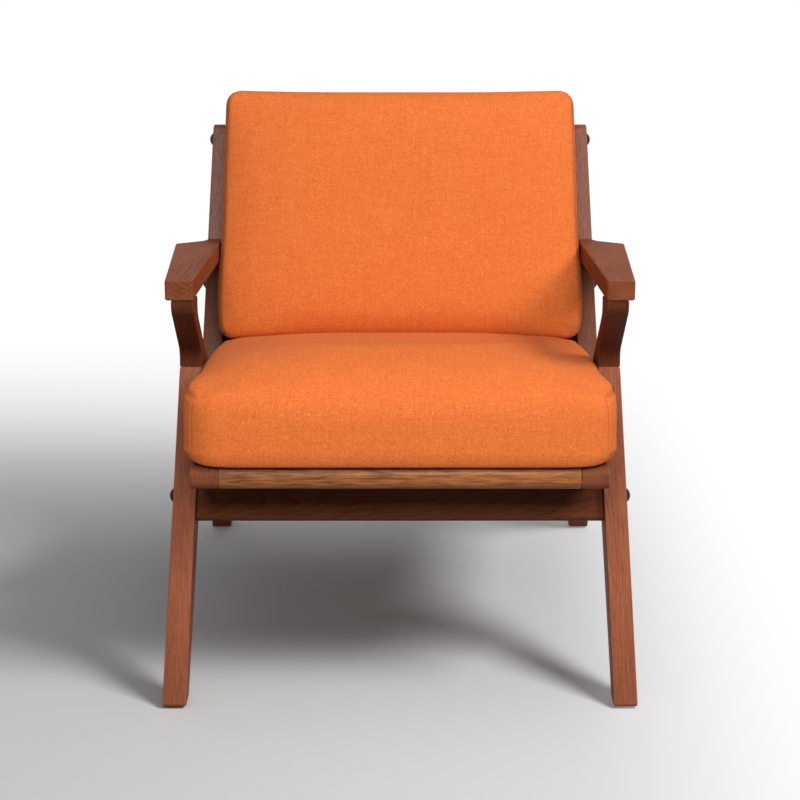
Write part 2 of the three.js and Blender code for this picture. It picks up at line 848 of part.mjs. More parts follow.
function seatFrame() {
  const group = new THREE.Group();
  group.position.set(0, seatUnder.x, seatUnder.y);
  group.rotation.x = -seat.slope;
  const sideRailGeometry = seatSideRail();
  const leftRail = mesh("left_seat_rail", sideRailGeometry, "stain");
  leftRail.scale.x = -1;
  group.add(mesh("right_seat_rail", sideRailGeometry, "stain"), leftRail);
  group.add(seatCrossRail("seat_nose_rail", noseCorners(seat.noseDepth), tenonMiddles.nose, "nose"));
  group.add(seatCrossRail("seat_rear_rail", rearCorners, tenonMiddles.rear, "stain"));
  strapSetbacks.forEach((setback, i) => {
    group.add(mesh("seat_strap_" + (i + 1), strapBand(setback, 0), "webbing"));
  });
  for (const [end, setback] of Object.entries(screwSetbacks)) {
    for (const [hand, way] of [["left", -1], ["right", 1]]) {
      const pin = mesh(hand + "_" + end + "_seat_screw", seatScrew(0, 0), "steel");
      pin.position.set(way * screwAcross, setback, 0);
      group.add(pin);
    }
  }
  group.add(mesh("seat_cushion", seatCushionGeometry(), "fabric"));
  return group;
}

// Back frame, in its own plane: y runs back from the posts' front edges and z up along them
function postInnerAt(y, z) {
  const rise = z * Math.cos(post.recline) - y * Math.sin(post.recline);
  return sideAt(backOrigin.y + rise).inner;
}

const stileOuter = (point) => postInnerAt(point.y, point.z) - back.sideGap;
const stileInner = (point) => stileOuter(point) - back.stileWidth;

function backBand(low, high, thickness, radius) {
  const rear = back.recess + thickness;
  return [
    [at(back.recess, low), radius],
    [at(rear, low), radius],
    [at(rear, high), radius],
    [at(back.recess, high), radius],
  ];
}

const slatRoom = backTop - back.topRailHeight - back.bottom - back.bottomRailHeight;
const slatGap = (slatRoom - back.slatCount * back.slatHeight) / (back.slatCount + 1);
const ladder = [
  ["back_bottom_rail", back.bottom, back.bottomRailHeight, back.thickness, back.cornerRadius],
  ["back_top_rail", backTop - back.topRailHeight, back.topRailHeight, back.thickness, back.cornerRadius],
];
for (let i = 0; i < back.slatCount; i++) {
  const low = back.bottom + back.bottomRailHeight + slatGap + i * (back.slatHeight + slatGap);
  ladder.push(["back_slat_" + (i + 1), low, back.slatHeight, back.slatThickness, back.slatRadius]);
}

function backTenonBar(low, height, thickness, clearance) {
  const middle = back.recess + thickness / 2;
  const half = backTenon.thickness / 2 + clearance;
  const bottom = low + backTenon.shoulder - clearance;
  const top = low + height - backTenon.shoulder + clearance;
  const corners = square([
    at(middle - half, bottom),
    at(middle + half, bottom),
    at(middle + half, top),
    at(middle - half, top),
  ]);
  const far = (point) => stileInner(point) + backTenon.depth + clearance;
  const near = (point) => -far(point);
  return bar(corners, near, far);
}

const offBackFrame = (geometry) =>
  geometry.translate(0, -backOrigin.x, -backOrigin.y).rotateX(post.recline);

function backStile() {
  const plain = bar(
    backBand(back.bottom, backTop, back.thickness, back.cornerRadius),
    stileInner,
    stileOuter,
    easedEdge,
  );
  const mortises = ladder.map(([, low, height, thickness]) =>
    backTenonBar(low, height, thickness, bore),
  );
  const bores = [boltBores.lower_back, boltBores.upper_back];
  return cut(plain, [...mortises, ...bores.map((tool) => offBackFrame(tool.clone()))]);
}

function backFrame() {
  const group = new THREE.Group();
  group.position.set(0, backOrigin.x, backOrigin.y);
  group.rotation.x = -post.recline;
  const stileGeometry = backStile();
  const leftStile = mesh("left_back_stile", stileGeometry, "stain");
  leftStile.scale.x = -1;
  group.add(mesh("right_back_stile", stileGeometry, "stain"), leftStile);
  for (const [name, low, height, thickness, radius] of ladder) {
    const far = (point) => stileInner(point) - joint;
    const near = (point) => -far(point);
    const plain = bar(backBand(low, low + height, thickness, radius), near, far);
    const tenon = backTenonBar(low, height, thickness, 0);
    group.add(mesh(name, join(plain, [tenon]), "stain"));
  }
  group.add(mesh("back_cushion", backCushionGeometry(), "fabric"));
  return group;
}

// Cushions: the rings of a sphere take the outline of the cushion, seen from its crowned face
function power(value, share) {
  return Math.sign(value) * Math.abs(value) ** share;
}

function pillow(corners, place) {
  const points = outline(corners).getPoints(rings.arc);
  const centre = centreOf(corners);
  const geometry = new THREE.SphereGeometry(1, points.length - 1, rings.pillow);
  const position = geometry.getAttribute("position");
  for (let i = 0; i < position.count; i++) {
    const turn = Math.floor(i / points.length) / rings.pillow;
    const isPole = turn === 0 || turn === 1;
    const share = turn < 1 / 2 ? crownShare : baseShare;
    const reach = isPole ? 0 : power(Math.sin(Math.PI * turn), share);
    const height = power(Math.cos(Math.PI * turn), share);
    const spot = centre.clone().lerp(points[i % points.length], reach);
    position.setXYZ(i, ...place(spot, height));
  }
  geometry.computeVertexNormals();
  return geometry;
}

const seatCushionUnder = seat.railThickness + joint;
const seatCrown = seatCushionUnder + seatCushion.baseHeight + seatCushion.crownHeight;
const backFrameFoot = shifted(shifted(backOrigin, postInto, back.recess), postUp, back.bottom);
const backFrameSetback = backFrameFoot.sub(seatUnder).dot(seatAlong);

function seatCushionGeometry() {
  const { cornerRadius, flareStart, flareEnd } = seatCushion;
  const halfWidth = seatHalf - seatCushion.sideInset;
  const frontHalfWidth = halfWidth + seatCushion.flare;
  const rear = backFrameSetback - seatCushion.rearGap;
  const middle = (flareEnd + rear) / 2;
  const rightSide = [
    [at(frontHalfWidth, -seatCushion.overhang), cornerRadius],
    [at(frontHalfWidth, flareStart), 0],
    [at(halfWidth, flareEnd), 0],
    [at(halfWidth, middle), 0],
    [at(halfWidth, rear), cornerRadius],
  ];
  const leftSide = rightSide.map(([corner, radius]) => [at(-corner.x, corner.y), radius]);
  const base = seatCushionUnder + seatCushion.baseHeight;
  const place = (spot, up) => {
    const rise = up * (up < 0 ? seatCushion.baseHeight : seatCushion.crownHeight);
    return [spot.x, spot.y, base + rise];
  };
  return pillow([...rightSide, ...leftSide.reverse()], place);
}

// The front of the back cushion spreads over the posts, and its rear fits between them
function backCushionGeometry() {
  const { bottomGap, topLap, postGap, cornerRadius } = backCushion;
  const frameFront = shifted(backOrigin, postInto, back.recess);
  const crownLevel = shifted(seatUnder, seatUp, seatCrown - backCushion.sink);
  const bottom = meet(frameFront, postUp, crownLevel, seatAlong).sub(frameFront).dot(postUp);
  const wedge = Math.tan(post.recline - seat.slope);
  const height = post.length - back.rise + backCushion.topRise - bottom;
  const widest = back.recess - joint - backCushion.rearDepth;
  const drawnHalf = postInnerAt(widest, bottom);
  const corners = [
    [at(-drawnHalf, 0), cornerRadius],
    [at(drawnHalf, 0), cornerRadius],
    [at(drawnHalf, height), cornerRadius],
    [at(-drawnHalf, height), cornerRadius],
  ];
  const place = (spot, out) => {
    const y = widest - out * (out < 0 ? backCushion.rearDepth : backCushion.frontDepth);
    const risen = spot.y / height;
    const drop = (back.recess - y) * wedge * (1 - risen);
    const z = bottom + spot.y - drop;
    const spread = out < 0 ? -postGap : THREE.MathUtils.lerp(-bottomGap, topLap, risen);
    return [(spot.x / drawnHalf) * (postInnerAt(y, z) + spread), y, z];
  };
  return pillow(corners, place);
}

// The whole chair, lifted onto its glides and centred front to back
const chair = new THREE.Group();
chair.position.set(0, -rearHeel.x / 2, glide.height);

const leftFrame = sideFrame("left");
leftFrame.scale.x = -1;
chair.add(leftFrame, sideFrame("right"));
chair.add(crossBoard("front_apron", apronCorners, boltBores.apron, screwBoresInPlace[0]));
chair.add(crossBoard("rear_stretcher", stretcherCorners, boltBores.stretcher, screwBoresInPlace[1]));
chair.add(seatFrame(), backFrame());

export default chair;
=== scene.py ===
import json
import math

import bmesh
import bpy
import numpy as np
from mathutils import Matrix, Vector

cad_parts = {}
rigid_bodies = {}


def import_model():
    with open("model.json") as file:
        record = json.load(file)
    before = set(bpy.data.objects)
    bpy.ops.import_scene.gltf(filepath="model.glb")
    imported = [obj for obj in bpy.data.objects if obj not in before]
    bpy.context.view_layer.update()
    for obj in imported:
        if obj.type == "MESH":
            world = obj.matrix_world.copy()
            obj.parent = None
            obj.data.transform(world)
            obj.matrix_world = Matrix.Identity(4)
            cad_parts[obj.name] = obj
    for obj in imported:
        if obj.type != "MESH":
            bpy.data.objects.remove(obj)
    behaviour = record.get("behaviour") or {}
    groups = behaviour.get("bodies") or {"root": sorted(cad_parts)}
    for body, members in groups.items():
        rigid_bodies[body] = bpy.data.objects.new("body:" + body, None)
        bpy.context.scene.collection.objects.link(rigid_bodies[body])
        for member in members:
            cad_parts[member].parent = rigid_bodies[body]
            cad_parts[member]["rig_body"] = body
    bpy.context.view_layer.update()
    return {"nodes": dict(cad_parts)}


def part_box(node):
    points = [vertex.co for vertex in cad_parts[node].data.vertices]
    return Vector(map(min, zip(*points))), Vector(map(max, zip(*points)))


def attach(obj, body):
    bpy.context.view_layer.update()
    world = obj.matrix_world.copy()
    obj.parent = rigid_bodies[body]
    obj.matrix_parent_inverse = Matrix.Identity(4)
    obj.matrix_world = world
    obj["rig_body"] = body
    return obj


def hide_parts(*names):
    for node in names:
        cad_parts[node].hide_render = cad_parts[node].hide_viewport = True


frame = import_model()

bl_info = {
    "name": "Fireside chair",
    "version": (1, 0, 0),
    "blender": (4, 5, 0),
    "location": "View3D > Sidebar > Fireside chair",
    "description": "An open-arm fireside chair: stained wood, webbed seat and two loose tweed cushions",
    "category": "Object",
}

NODES = frame["nodes"]
HANDS = (("left", -1), ("right", 1))
ACROSS = (1.0, 0.0, 0.0)
BORDER_SHARE = 0.32  # half the height of a cushion's border, as a share of the cushion's thickness
BASE_HOLD = 0.75  # how firmly a cushion's base is held while the cover is blown up; 1 is fixed
NEARLY_ONE = 1 - 1e-4  # the cube's points past this lie on its faces


def rising(lean):
    """The direction in side view that leans back from the upright by an angle."""
    return Vector((0.0, math.sin(lean), math.cos(lean)))


def setting(name, description, default, **kind):
    return bpy.props.FloatProperty(name=name, description=description, default=default, **kind)


def length(name, description, default):
    return setting(name, description, default, unit="LENGTH")


def angle(name, description, degrees):
    return setting(name, description, math.radians(degrees), subtype="ANGLE")


def colour(name, description, default):
    return bpy.props.FloatVectorProperty(
        name=name, description=description, default=default, subtype="COLOR", size=3, min=0.0, max=1.0
    )


def toned(shade, factor):
    """A colour made lighter or darker, with no part above 1."""
    return tuple(min(1.0, part * factor) for part in shade)


def smooth_step(value, low, high):
    """0 below the low value, 1 above the high one, and smooth in between."""
    risen = np.clip((value - low) / (high - low), 0, 1)
    return risen * risen * (3 - 2 * risen)


class ChairWood(bpy.types.PropertyGroup):
    light: colour("Light stain", "Stained wood between the growth rings", (0.215, 0.064, 0.027))
    dark: colour("Dark stain", "Stained wood in the growth rings and pores", (0.070, 0.017, 0.0075))
    nose_light: colour("Light nose", "Nose rail between the growth rings", (0.360, 0.125, 0.033))
    nose_dark: colour("Dark nose", "Nose rail in the growth rings and pores", (0.050, 0.013, 0.003))
    beech_light: colour("Light beech", "Bare wood of the dowels", (0.62, 0.40, 0.22))
    beech_dark: colour("Dark beech", "Rays and rings of the dowels", (0.43, 0.24, 0.12))
    ring_width: length("Ring width", "Distance between two growth rings", 0.0046)
    heart: length("Heart distance", "How far the log's heart lies beside a piece", 0.062)
    # The edges are painted lighter, both as wear and as a painted highlight along them; this is how far that
    # reaches.
    worn_and_lit_edge_reach: length("Wear", "How far from an edge the stain is rubbed lighter", 0.0022)
    smooth_below: angle("Smooth below", "Edges that turn less than this are shaded smooth", 32)
    leg_lean: angle("Leg lean", "Grain of the front legs, back from the upright", 25.5)
    support_lean: angle("Support lean", "Grain of the arm supports, back from the upright", -30)
    arm_drop: angle("Arm drop", "Grain of the armrests, down towards the back", 5.77)
    post_lean: angle("Post lean", "Grain of the back posts, back from the upright", 15)


class ChairCushions(bpy.types.PropertyGroup):
    light: colour("Light thread", "Lightest threads of the tweed", (0.86, 0.300, 0.090))
    middle: colour("Thread", "Most threads of the tweed", (0.690, 0.162, 0.035))
    dark: colour("Dark thread", "Darkest threads of the tweed", (0.440, 0.071, 0.012))
    thread: length("Thread pitch", "Distance between two threads", 0.0013)
    row: length("Row", "Size of the cover's mesh before it is blown up", 0.0075)
    seat_slope: angle("Seat slope", "Slope of the seat frame, down towards the back", 8.5)
    recline: angle("Recline", "Lean of the back frame", 22)
    corner: length("Corner radius", "Radius of the seat cushion's corners, seen from its crowned face", 0.050)
    back_corner: length("Back corner radius", "The same of the back cushion's corners", 0.024)
    base: length("Base height", "From the seat frame to the seat cushion's widest line", 0.050)
    flare: length("Flare", "How much wider the seat cushion is in front of the legs, on each side", 0.0108)
    flare_start: length("Flare start", "End of the wide part, behind the cushion's front", 0.055)
    flare_end: length("Flare end", "Start of the narrow part, behind the cushion's front", 0.123)
    seat_grow: length("Seat growth", "How far the seat cushion is filled out in front and aside", 0.004)
    seat_slack: length("Seat slack", "How much lower the seat cushion's crown starts", 0.006)
    pressed: length("Pressed", "Depth below its crown from which the seat cushion gives way behind", 0.0083)
    back_height: length("Back height", "Height of the back cushion along the posts", 0.3885)
    back_lowered: length("Back lowered", "From the top of the back cushion's room to its cover", 0.0044)
    back_rear: length("Back rear depth", "From the back frame to the back cushion's widest line", 0.044)
    lap: length("Lap", "How far the top of the back cushion laps over the posts", 0.0065)
    gap: length("Gap", "Between the bottom of the back cushion and the posts", 0.001)
    bulge: length("Bulge", "How far the back cushion stands out sideways below the arms", 0.0055)
    back_give: length("Back give", "Limit that the back cushion's swell in front stays under", 0.016)
    post_gap: length("Post gap", "Between the rear of the back cushion and the posts", 0.003)
    swell: length("Swell", "Most that the filling pushes a point of the cover out", 0.022)
    seam: length("Seam", "Depth of the crease along a seam", 0.0011)
    zip_width: length("Zip width", "Width of the zip's coil", 0.0055)


class ChairFittings(bpy.types.PropertyGroup):
    cap: colour("Cap", "Domed caps over the bolt heads", (0.030, 0.011, 0.007))
    steel: colour("Steel", "Bolts, screws and glide nails", (0.42, 0.43, 0.44))
    nylon: colour("Nylon", "Glides under the feet", (0.78, 0.76, 0.71))
    web: colour("Web", "Covering yarn of the elastic webbing", (0.030, 0.026, 0.023))
    web_stripe: colour("Web stripe", "Marker yarns along the webbing", (0.30, 0.22, 0.12))
    side_lean: angle("Side lean", "Lean of a side frame's outer face", 2.5)
    cap_height: length("Cap height", "Dome above the wood", 0.0075)
    cap_radius: length("Cap radius", "Radius of a cap", 0.011)
    glide_radius: length("Glide radius", "Radius of a glide", 0.009)
    glide_height: length("Glide height", "Thickness of a glide", 0.003)


class ChairStage(bpy.types.PropertyGroup):
    distance: length("Distance", "From the camera to the middle of the chair, along the floor", 2.508)
    height: length("Height", "Height of the camera", 1.164)
    pitch: angle("Pitch", "How far the camera looks down", 18)
    lens: setting("Lens", "Focal length in millimetres", 75.735)
    sensor: setting("Sensor", "Width of the picture's sensor in millimetres", 36.0)
    floor: colour("Floor", "Floor as it is seen", (0.97, 0.975, 0.985))
    bounce: colour("Bounce", "Floor as it lights the chair", (0.50, 0.50, 0.50))
    key: setting("Key", "Power of the right lamp", 74.0, unit="POWER")
    top: setting("Top", "Power of the lamp overhead", 8.0, unit="POWER")
    fill: setting("Fill", "Power of the high front lamp", 112.0, unit="POWER")
    sky: setting("Sky", "Strength of the light from all round", 0.20, subtype="FACTOR")


GROUPS = {"wood": ChairWood, "cushions": ChairCushions, "fittings": ChairFittings, "stage": ChairStage}


def sizes(group):
    return getattr(bpy.context.scene, "fireside_" + group)


def maths(operation, swapped=False):
    """A method that adds a Math node, with its own socket first or, if swapped, last."""

    def apply(signal, *others):
        values = (*others, signal) if swapped else (signal, *others)
        return signal.finish.node("Math", {"operation": operation}, dict(enumerate(values)))

    return apply


class Signal:
    """A socket of a material; an expression with it adds Math nodes."""

    __add__ = __radd__ = maths("ADD")
    __sub__ = maths("SUBTRACT")
    __rsub__ = maths("SUBTRACT", swapped=True)
    __mul__ = __rmul__ = maths("MULTIPLY")
    __truediv__ = maths("DIVIDE")
    __gt__ = maths("GREATER_THAN")
    floor = maths("FLOOR")
    fraction = maths("FRACT")
    size = maths("ABSOLUTE")
    root = maths("SQRT")

    def __init__(self, finish, socket):
        self.finish = finish
        self.socket = socket

    def ramp(self, *stops):
        """Numbers or colours between stops, each a place and a value."""
        return self.finish.node("ValToRGB", {"stops": stops}, {0: self})

    def between(self, low, high):
        """0 below the low value, 1 above the high one, and smooth in between."""
        inputs = {0: self, 1: low, 2: high, 3: 0.0, 4: 1.0}
        return self.finish.node("MapRange", {"interpolation_type": "SMOOTHSTEP"}, inputs)


class Finish:
    """A material, or the room's light, made from expressions."""

    def __init__(self, name, owner=None):
        self.owner = owner or bpy.data.materials.new(name)
        self.owner.use_nodes = True
        self.tree = self.owner.node_tree
        self.tree.nodes.clear()

    def node(self, kind, settings=None, inputs=None, output=0):
        """Adds a node, sets and links it, and hands back one of its outputs, if it has any."""
        made = self.tree.nodes.new("ShaderNode" + kind)
        for name, value in (settings or {}).items():
            if name == "stops":
                ramp = made.color_ramp
                while len(ramp.elements) < len(value):
                    ramp.elements.new(0.5)
                for element, (place, tone) in zip(ramp.elements, value):
                    element.position = place
                    element.color = (tone, tone, tone, 1.0) if isinstance(tone, float) else (*tone, 1.0)
            else:
                setattr(made, name, value)
        for key, value in (inputs or {}).items():
            if isinstance(value, Signal):
                self.tree.links.new(value.socket, made.inputs[key])
            elif isinstance(value, tuple) and made.inputs[key].type == "RGBA":
                made.inputs[key].default_value = (*value[:3], 1.0)
            else:
                made.inputs[key].default_value = value
        return Signal(self, made.outputs[output]) if made.outputs else None

    def split(self, vector):
        first = self.node("SeparateXYZ", inputs={0: vector})
        return [Signal(self, socket) for socket in first.socket.node.outputs]

    def placed(self, centre=(0, 0, 0), turn=(0, 0, 0)):
        """Object coordinates, measured from a centre along turned axes."""
        coordinates = self.node("TexCoord", output="Object")
        inputs = {0: coordinates, 1: tuple(centre), 2: tuple(turn)}
        return self.node("Mapping", {"vector_type": "TEXTURE"}, inputs)

    def noise(self, place, detail, roughness=0.5):
        """Noise at a place, which is three numbers or signals."""
        vector = self.node("CombineXYZ", inputs=dict(enumerate(place)))
        inputs = {"Vector": vector, "Scale": 1.0, "Detail": detail, "Roughness": roughness}
        return self.node("TexNoise", inputs=inputs)

    def flecks(self, waves, detail, roughness=0.5):
        """Noise with so many waves a metre along each of the object's axes."""
        parts = [part * count for part, count in zip(self.split(self.placed()), waves)]
        return self.noise(parts, detail, roughness)

    def mix(self, factor, first, second):
        return self.node("Mix", {"data_type": "RGBA"}, {0: factor, 6: first, 7: second}, output=2)

    def bump(self, height, distance, strength):
        return self.node("Bump", inputs={"Height": height, "Distance": distance, "Strength": strength})

    def surface(self, **inputs):
        """Ends the material with a shader whose sockets are named by the keywords."""
        named = {}
        for name, value in inputs.items():
            named[name.replace("_", " ").title().replace("Ior", "IOR")] = value
        self.node("OutputMaterial", inputs={0: self.node("BsdfPrincipled", inputs=named)})
        return self.owner


def stained_wood(
    name, along, centre, light, dark, heart=1.0, rise=0.45, taper=0.035, streak=0.38, coarse=1.0, gloss=0.0
):
    """Wood whose grain runs along a direction, with its pores open and its edges painted lighter, partly as
    wear and partly as a painted highlight.

    The log's heart lies beside the piece: heart and rise place it, in heart distances. The taper slants the
    rings along the grain, streak is how much the fibres show, and coarse makes them wide and short.
    """
    wood = sizes("wood")
    finish = Finish(name)
    turn = Vector(along).to_track_quat("Z", "Y").to_euler()
    x, y, z = finish.split(finish.placed(centre, turn))

    def grain(across, lengthways, detail, roughness=0.5):
        """Noise with so many waves a metre across the grain and along it."""
        return finish.noise((x * across, y * across, z * lengthways), detail, roughness)

    drift = grain(14.0, 3.2, 2.0)
    waver = grain(60.0, 9.0, 2.0)
    fibre = grain(620.0 / coarse, 11.0 * coarse, 3.0, 0.6)
    fine = grain(2300.0, 60.0, 2.0)
    board = grain(22.0, 4.0, 2.0)
    pore = grain(1500.0, 70.0, 1.0).between(0.60, 0.70)
    most_drift, most_waver = 0.040, 0.0035
    aside_x = x - wood.heart * heart
    aside_y = y - wood.heart * rise
    from_heart = (aside_x * aside_x + aside_y * aside_y).root()
    radius = from_heart + z * taper + drift * most_drift + waver * most_waver
    ring = (radius / wood.ring_width).fraction().ramp((0.0, 0.10), (0.55, 0.30), (0.86, 1.0), (1.0, 0.10))
    board_share = 0.28
    ring_share = 1.0 - board_share - streak
    figure = ring * ring_share + fibre.between(0.32, 0.70) * streak + board.between(0.3, 0.7) * board_share
    stained = finish.mix(figure, light, dark)
    flecked = finish.mix(fine * 0.22, stained, toned(light, 1.35))
    pored = finish.mix(pore * 0.4, flecked, toned(dark, 0.6))
    # Painted lighter near the edges: partly wear, partly a painted highlight on the eased edges.
    rounded = finish.node("Bevel", {"samples": 4}, {"Radius": wood.worn_and_lit_edge_reach})
    flat = finish.node("NewGeometry", output="Normal")
    facing = finish.node("VectorMath", {"operation": "DOT_PRODUCT"}, {0: rounded, 1: flat}, output="Value")
    worn_and_lit_edges = (1.0 - facing).between(0.004, 0.12) * (0.25 + board.between(0.35, 0.65) * 0.45)
    grain_depth, specular = 0.00022, 0.03
    height = fine * 0.25 + fibre * 0.35 - pore * 0.8 - ring * 0.18
    return finish.surface(
        base_color=finish.mix(worn_and_lit_edges, pored, toned(light, 1.7)),
        roughness=0.46 - gloss + fibre * 0.14 + pore * 0.12,
        normal=finish.bump(height, grain_depth, 0.6),
        specular_ior_level=specular + gloss * 1.5,
    )


def tweed(name, half_sizes, zip_side):
    """Plain weave of slubby threads on each panel's own map in metres, with a zip along one hidden side."""
    cushions = sizes("cushions")
    finish = Finish(name)
    u, v, _ = finish.split(finish.node("UVMap", {"uv_map": "weave"}))
    warp = u / cushions.thread
    weft = v / cushions.thread
    warp_number = warp.floor()
    weft_number = weft.floor()
    warp_side = (warp.fraction() - 0.5) * 2.0
    weft_side = (weft.fraction() - 0.5) * 2.0
    over = ((warp_number + weft_number) * 0.5).fraction() > 0.25
    dip = 0.45  # how far a thread sinks where the next one crosses it
    warp_round = (1.0 - warp_side * warp_side) * (1.0 - weft_side * weft_side * dip)
    weft_round = (1.0 - weft_side * weft_side) * (1.0 - warp_side * warp_side * dip)
    height = over * warp_round + (1.0 - over) * weft_round

    slubs, tones, clouds, hairs = 420.0, 45.0, 26.0, 2600.0  # waves a metre
    slub_step, tone_step = 3.71, 5.3  # from one thread's noise to the next one's
    warp_slub = finish.noise((warp_number * slub_step, v * slubs, 0.5), 1.0, 0.6)
    weft_slub = finish.noise((u * slubs, weft_number * slub_step, 9.5), 1.0, 0.6)
    slub = over * warp_slub + (1.0 - over) * weft_slub
    warp_tone = finish.noise((warp_number * tone_step, v * tones, 3.5), 0.0)
    weft_tone = finish.noise((u * tones, weft_number * tone_step, 6.5), 0.0)
    cloud = finish.noise((u * clouds, v * clouds, 2.5), 3.0, 0.6)
    fuzz = finish.noise((u * hairs, v * hairs, 1.5), 2.0)
    heather = slub * 0.60 + (warp_tone + weft_tone) * 0.10 + cloud * 0.06 + fuzz * 0.16 - 0.01
    threads = heather.ramp(
        (0.30, tuple(cushions.dark)),
        (0.44, toned(cushions.middle, 0.93)),
        (0.54, tuple(cushions.middle)),
        (0.70, tuple(cushions.light)),
    )
    # Painted shade in the hollows between the threads.
    shaded = finish.mix((1.0 - height) * 0.42, threads, tuple(cushions.dark))
    # Painted shade in the crease along each seam, weighted by the sewn attribute.
    sewn = finish.node("Attribute", {"attribute_name": "sewn"}, output="Fac")
    seam_shaded = finish.mix(sewn * 0.4, shaded, toned(cushions.dark, 0.55))

    stitch_line, stitch_pitch, tooth_pitch = 0.008, 0.0035, 0.0016
    on_panel, zip_ends = 0.97, (0.84, 0.845)  # as shares of the cushion's half sizes
    a, b, c = finish.split(finish.node("Attribute", {"attribute_name": "grid"}, output="Vector"))
    zip_panel = (b * zip_side > on_panel) * (1.0 - a.size().between(*zip_ends))
    along = a * half_sizes[0]
    off = c.size() * half_sizes[2]
    coil = zip_panel * (1.0 - off.between(cushions.zip_width * 0.45, cushions.zip_width * 0.55))
    in_line = 1.0 - (off - stitch_line).size().between(0.0004, 0.0008)
    stitch = zip_panel * in_line * ((along / stitch_pitch).fraction() > 0.3)
    tooth = ((along / tooth_pitch).fraction() - 0.5).size() * 2.0
    zipped = finish.mix(coil, seam_shaded, toned(cushions.dark, 0.5))

    weave_depth = 0.00042
    relief = (height * 0.8 + slub * 0.5 + fuzz * 0.35) * (1.0 - coil) + coil * (tooth * 1.6 - 1.0)
    return finish.surface(
        base_color=finish.mix(stitch, zipped, tuple(cushions.light)),
        roughness=0.93 - height * 0.08 - coil * 0.4,
        normal=finish.bump(relief, weave_depth, 0.75),
        sheen_weight=0.02,
        sheen_roughness=0.45,
        specular_ior_level=0.1,
    )


def brushed_steel(name):
    fittings = sizes("fittings")
    finish = Finish(name)
    turned = finish.flecks((900.0, 900.0, 900.0), 3.0)
    stained = finish.flecks((90.0, 90.0, 90.0), 2.0)
    brush_depth = 0.00005
    return finish.surface(
        base_color=finish.mix(stained * 0.5, tuple(fittings.steel), toned(fittings.steel, 0.62)),
        metallic=1.0,
        roughness=0.26 + turned * 0.2,
        normal=finish.bump(turned, brush_depth, 0.5),
    )


def satin_cap(name):
    fittings = sizes("fittings")
    finish = Finish(name)
    fleck = finish.flecks((700.0, 700.0, 160.0), 3.0)
    fleck_depth = 0.00008
    return finish.surface(
        base_color=finish.mix(fleck.between(0.3, 0.7), tuple(fittings.cap), toned(fittings.cap, 1.9)),
        roughness=0.42 + fleck * 0.16,
        normal=finish.bump(fleck, fleck_depth, 0.4),
        specular_ior_level=0.05,
    )


def moulded_nylon(name):
    fittings = sizes("fittings")
    finish = Finish(name)
    scuff = finish.flecks((260.0, 1100.0, 500.0), 3.0, 0.6)
    scuff_depth = 0.00008
    worn = scuff.between(0.45, 0.8) * 0.5
    return finish.surface(
        base_color=finish.mix(worn, tuple(fittings.nylon), toned(fittings.nylon, 0.66)),
        roughness=0.42 + scuff * 0.25,
        normal=finish.bump(scuff, scuff_depth, 0.5),
    )


def elastic_webbing(name):
    """Rubber cords under a covering yarn, with two marker stripes along each strap's own map."""
    fittings = sizes("fittings")
    finish = Finish(name)
    cord_pitch, pick_pitch, ridge_depth = 0.0024, 0.0018, 0.0004
    stripe_place, stripe_half_width = 0.014, 0.0022
    yarn_along, yarn_across = 420.0, 1400.0  # waves a metre
    u, v, _ = finish.split(finish.node("UVMap", {"uv_map": "weave"}))
    cord = ((v / cord_pitch).fraction() - 0.5) * 2.0
    pick = (((u + v * 0.5) / pick_pitch).fraction() - 0.5) * 2.0
    ridge = (1.0 - cord * cord) * 0.7 + (1.0 - pick * pick) * 0.3
    yarn = finish.noise((u * yarn_along, v * yarn_across, 0.5), 3.0)
    stripe = 1.0 - ((v.size() - stripe_place).size() / stripe_half_width).between(0.8, 1.0)
    base = finish.mix(yarn * 0.6, tuple(fittings.web), toned(fittings.web, 3.2))
    marked = finish.mix(stripe * (0.55 + yarn * 0.4), base, tuple(fittings.web_stripe))
    # The base colour gets painted shade in the grooves between the cords.
    return finish.surface(
        base_color=finish.mix((1.0 - ridge) * 0.5, marked, toned(fittings.web, 0.4)),
        roughness=0.78 + yarn * 0.15,
        normal=finish.bump(ridge, ridge_depth, 0.9),
    )


def added(name, data):
    """A new object of the scene."""
    made = bpy.data.objects.new(name, data)
    bpy.context.scene.collection.objects.link(made)
    return made


def object_from(shape, name, material):
    """Turns a bmesh into an object of the scene."""
    mesh = bpy.data.meshes.new(name)
    shape.to_mesh(mesh)
    shape.free()
    mesh.materials.append(material)
    return added(name, mesh)


def piece_from(shape, name, material, node):
    """Turns a bmesh into a piece that stands for a CAD node and rides on its body."""
    piece = object_from(shape, name, material)
    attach(piece, NODES[node]["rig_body"])
    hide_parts(node)
    return piece


def dress_wood(node, along, slot="stained_wood", tone=1.0, **figure):
    """A copy of a wooden node whose eased edges are shaded round, in wood of its own."""
    wood = sizes("wood")
    stains = {"stained_wood": (wood.light, wood.dark), "nose_wood": (wood.nose_light, wood.nose_dark)}
    shape = bmesh.new()
    shape.from_mesh(NODES[node].data)
    bmesh.ops.remove_doubles(shape, verts=shape.verts, dist=1e-6)
    bmesh.ops.dissolve_degenerate(shape, edges=shape.edges, dist=1e-6)
    for face in shape.faces:
        face.smooth = True
    for edge in shape.edges:
        edge.smooth = edge.calc_face_angle(0.0) < wood.smooth_below
    low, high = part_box(node)
    # The tone makes the stain lighter or darker for how the piece is lit: painted light and shade.
    light, dark = [toned(stain, tone) for stain in stains[slot]]
    material = stained_wood("wood_" + node, along, (low + high) / 2, light, dark, **figure)
    piece = piece_from(shape, "finished_" + node, material, node)
    weighted = piece.modifiers.new("even_shading", "WEIGHTED_NORMAL")
    weighted.keep_sharp = True
    weighted.weight = 80


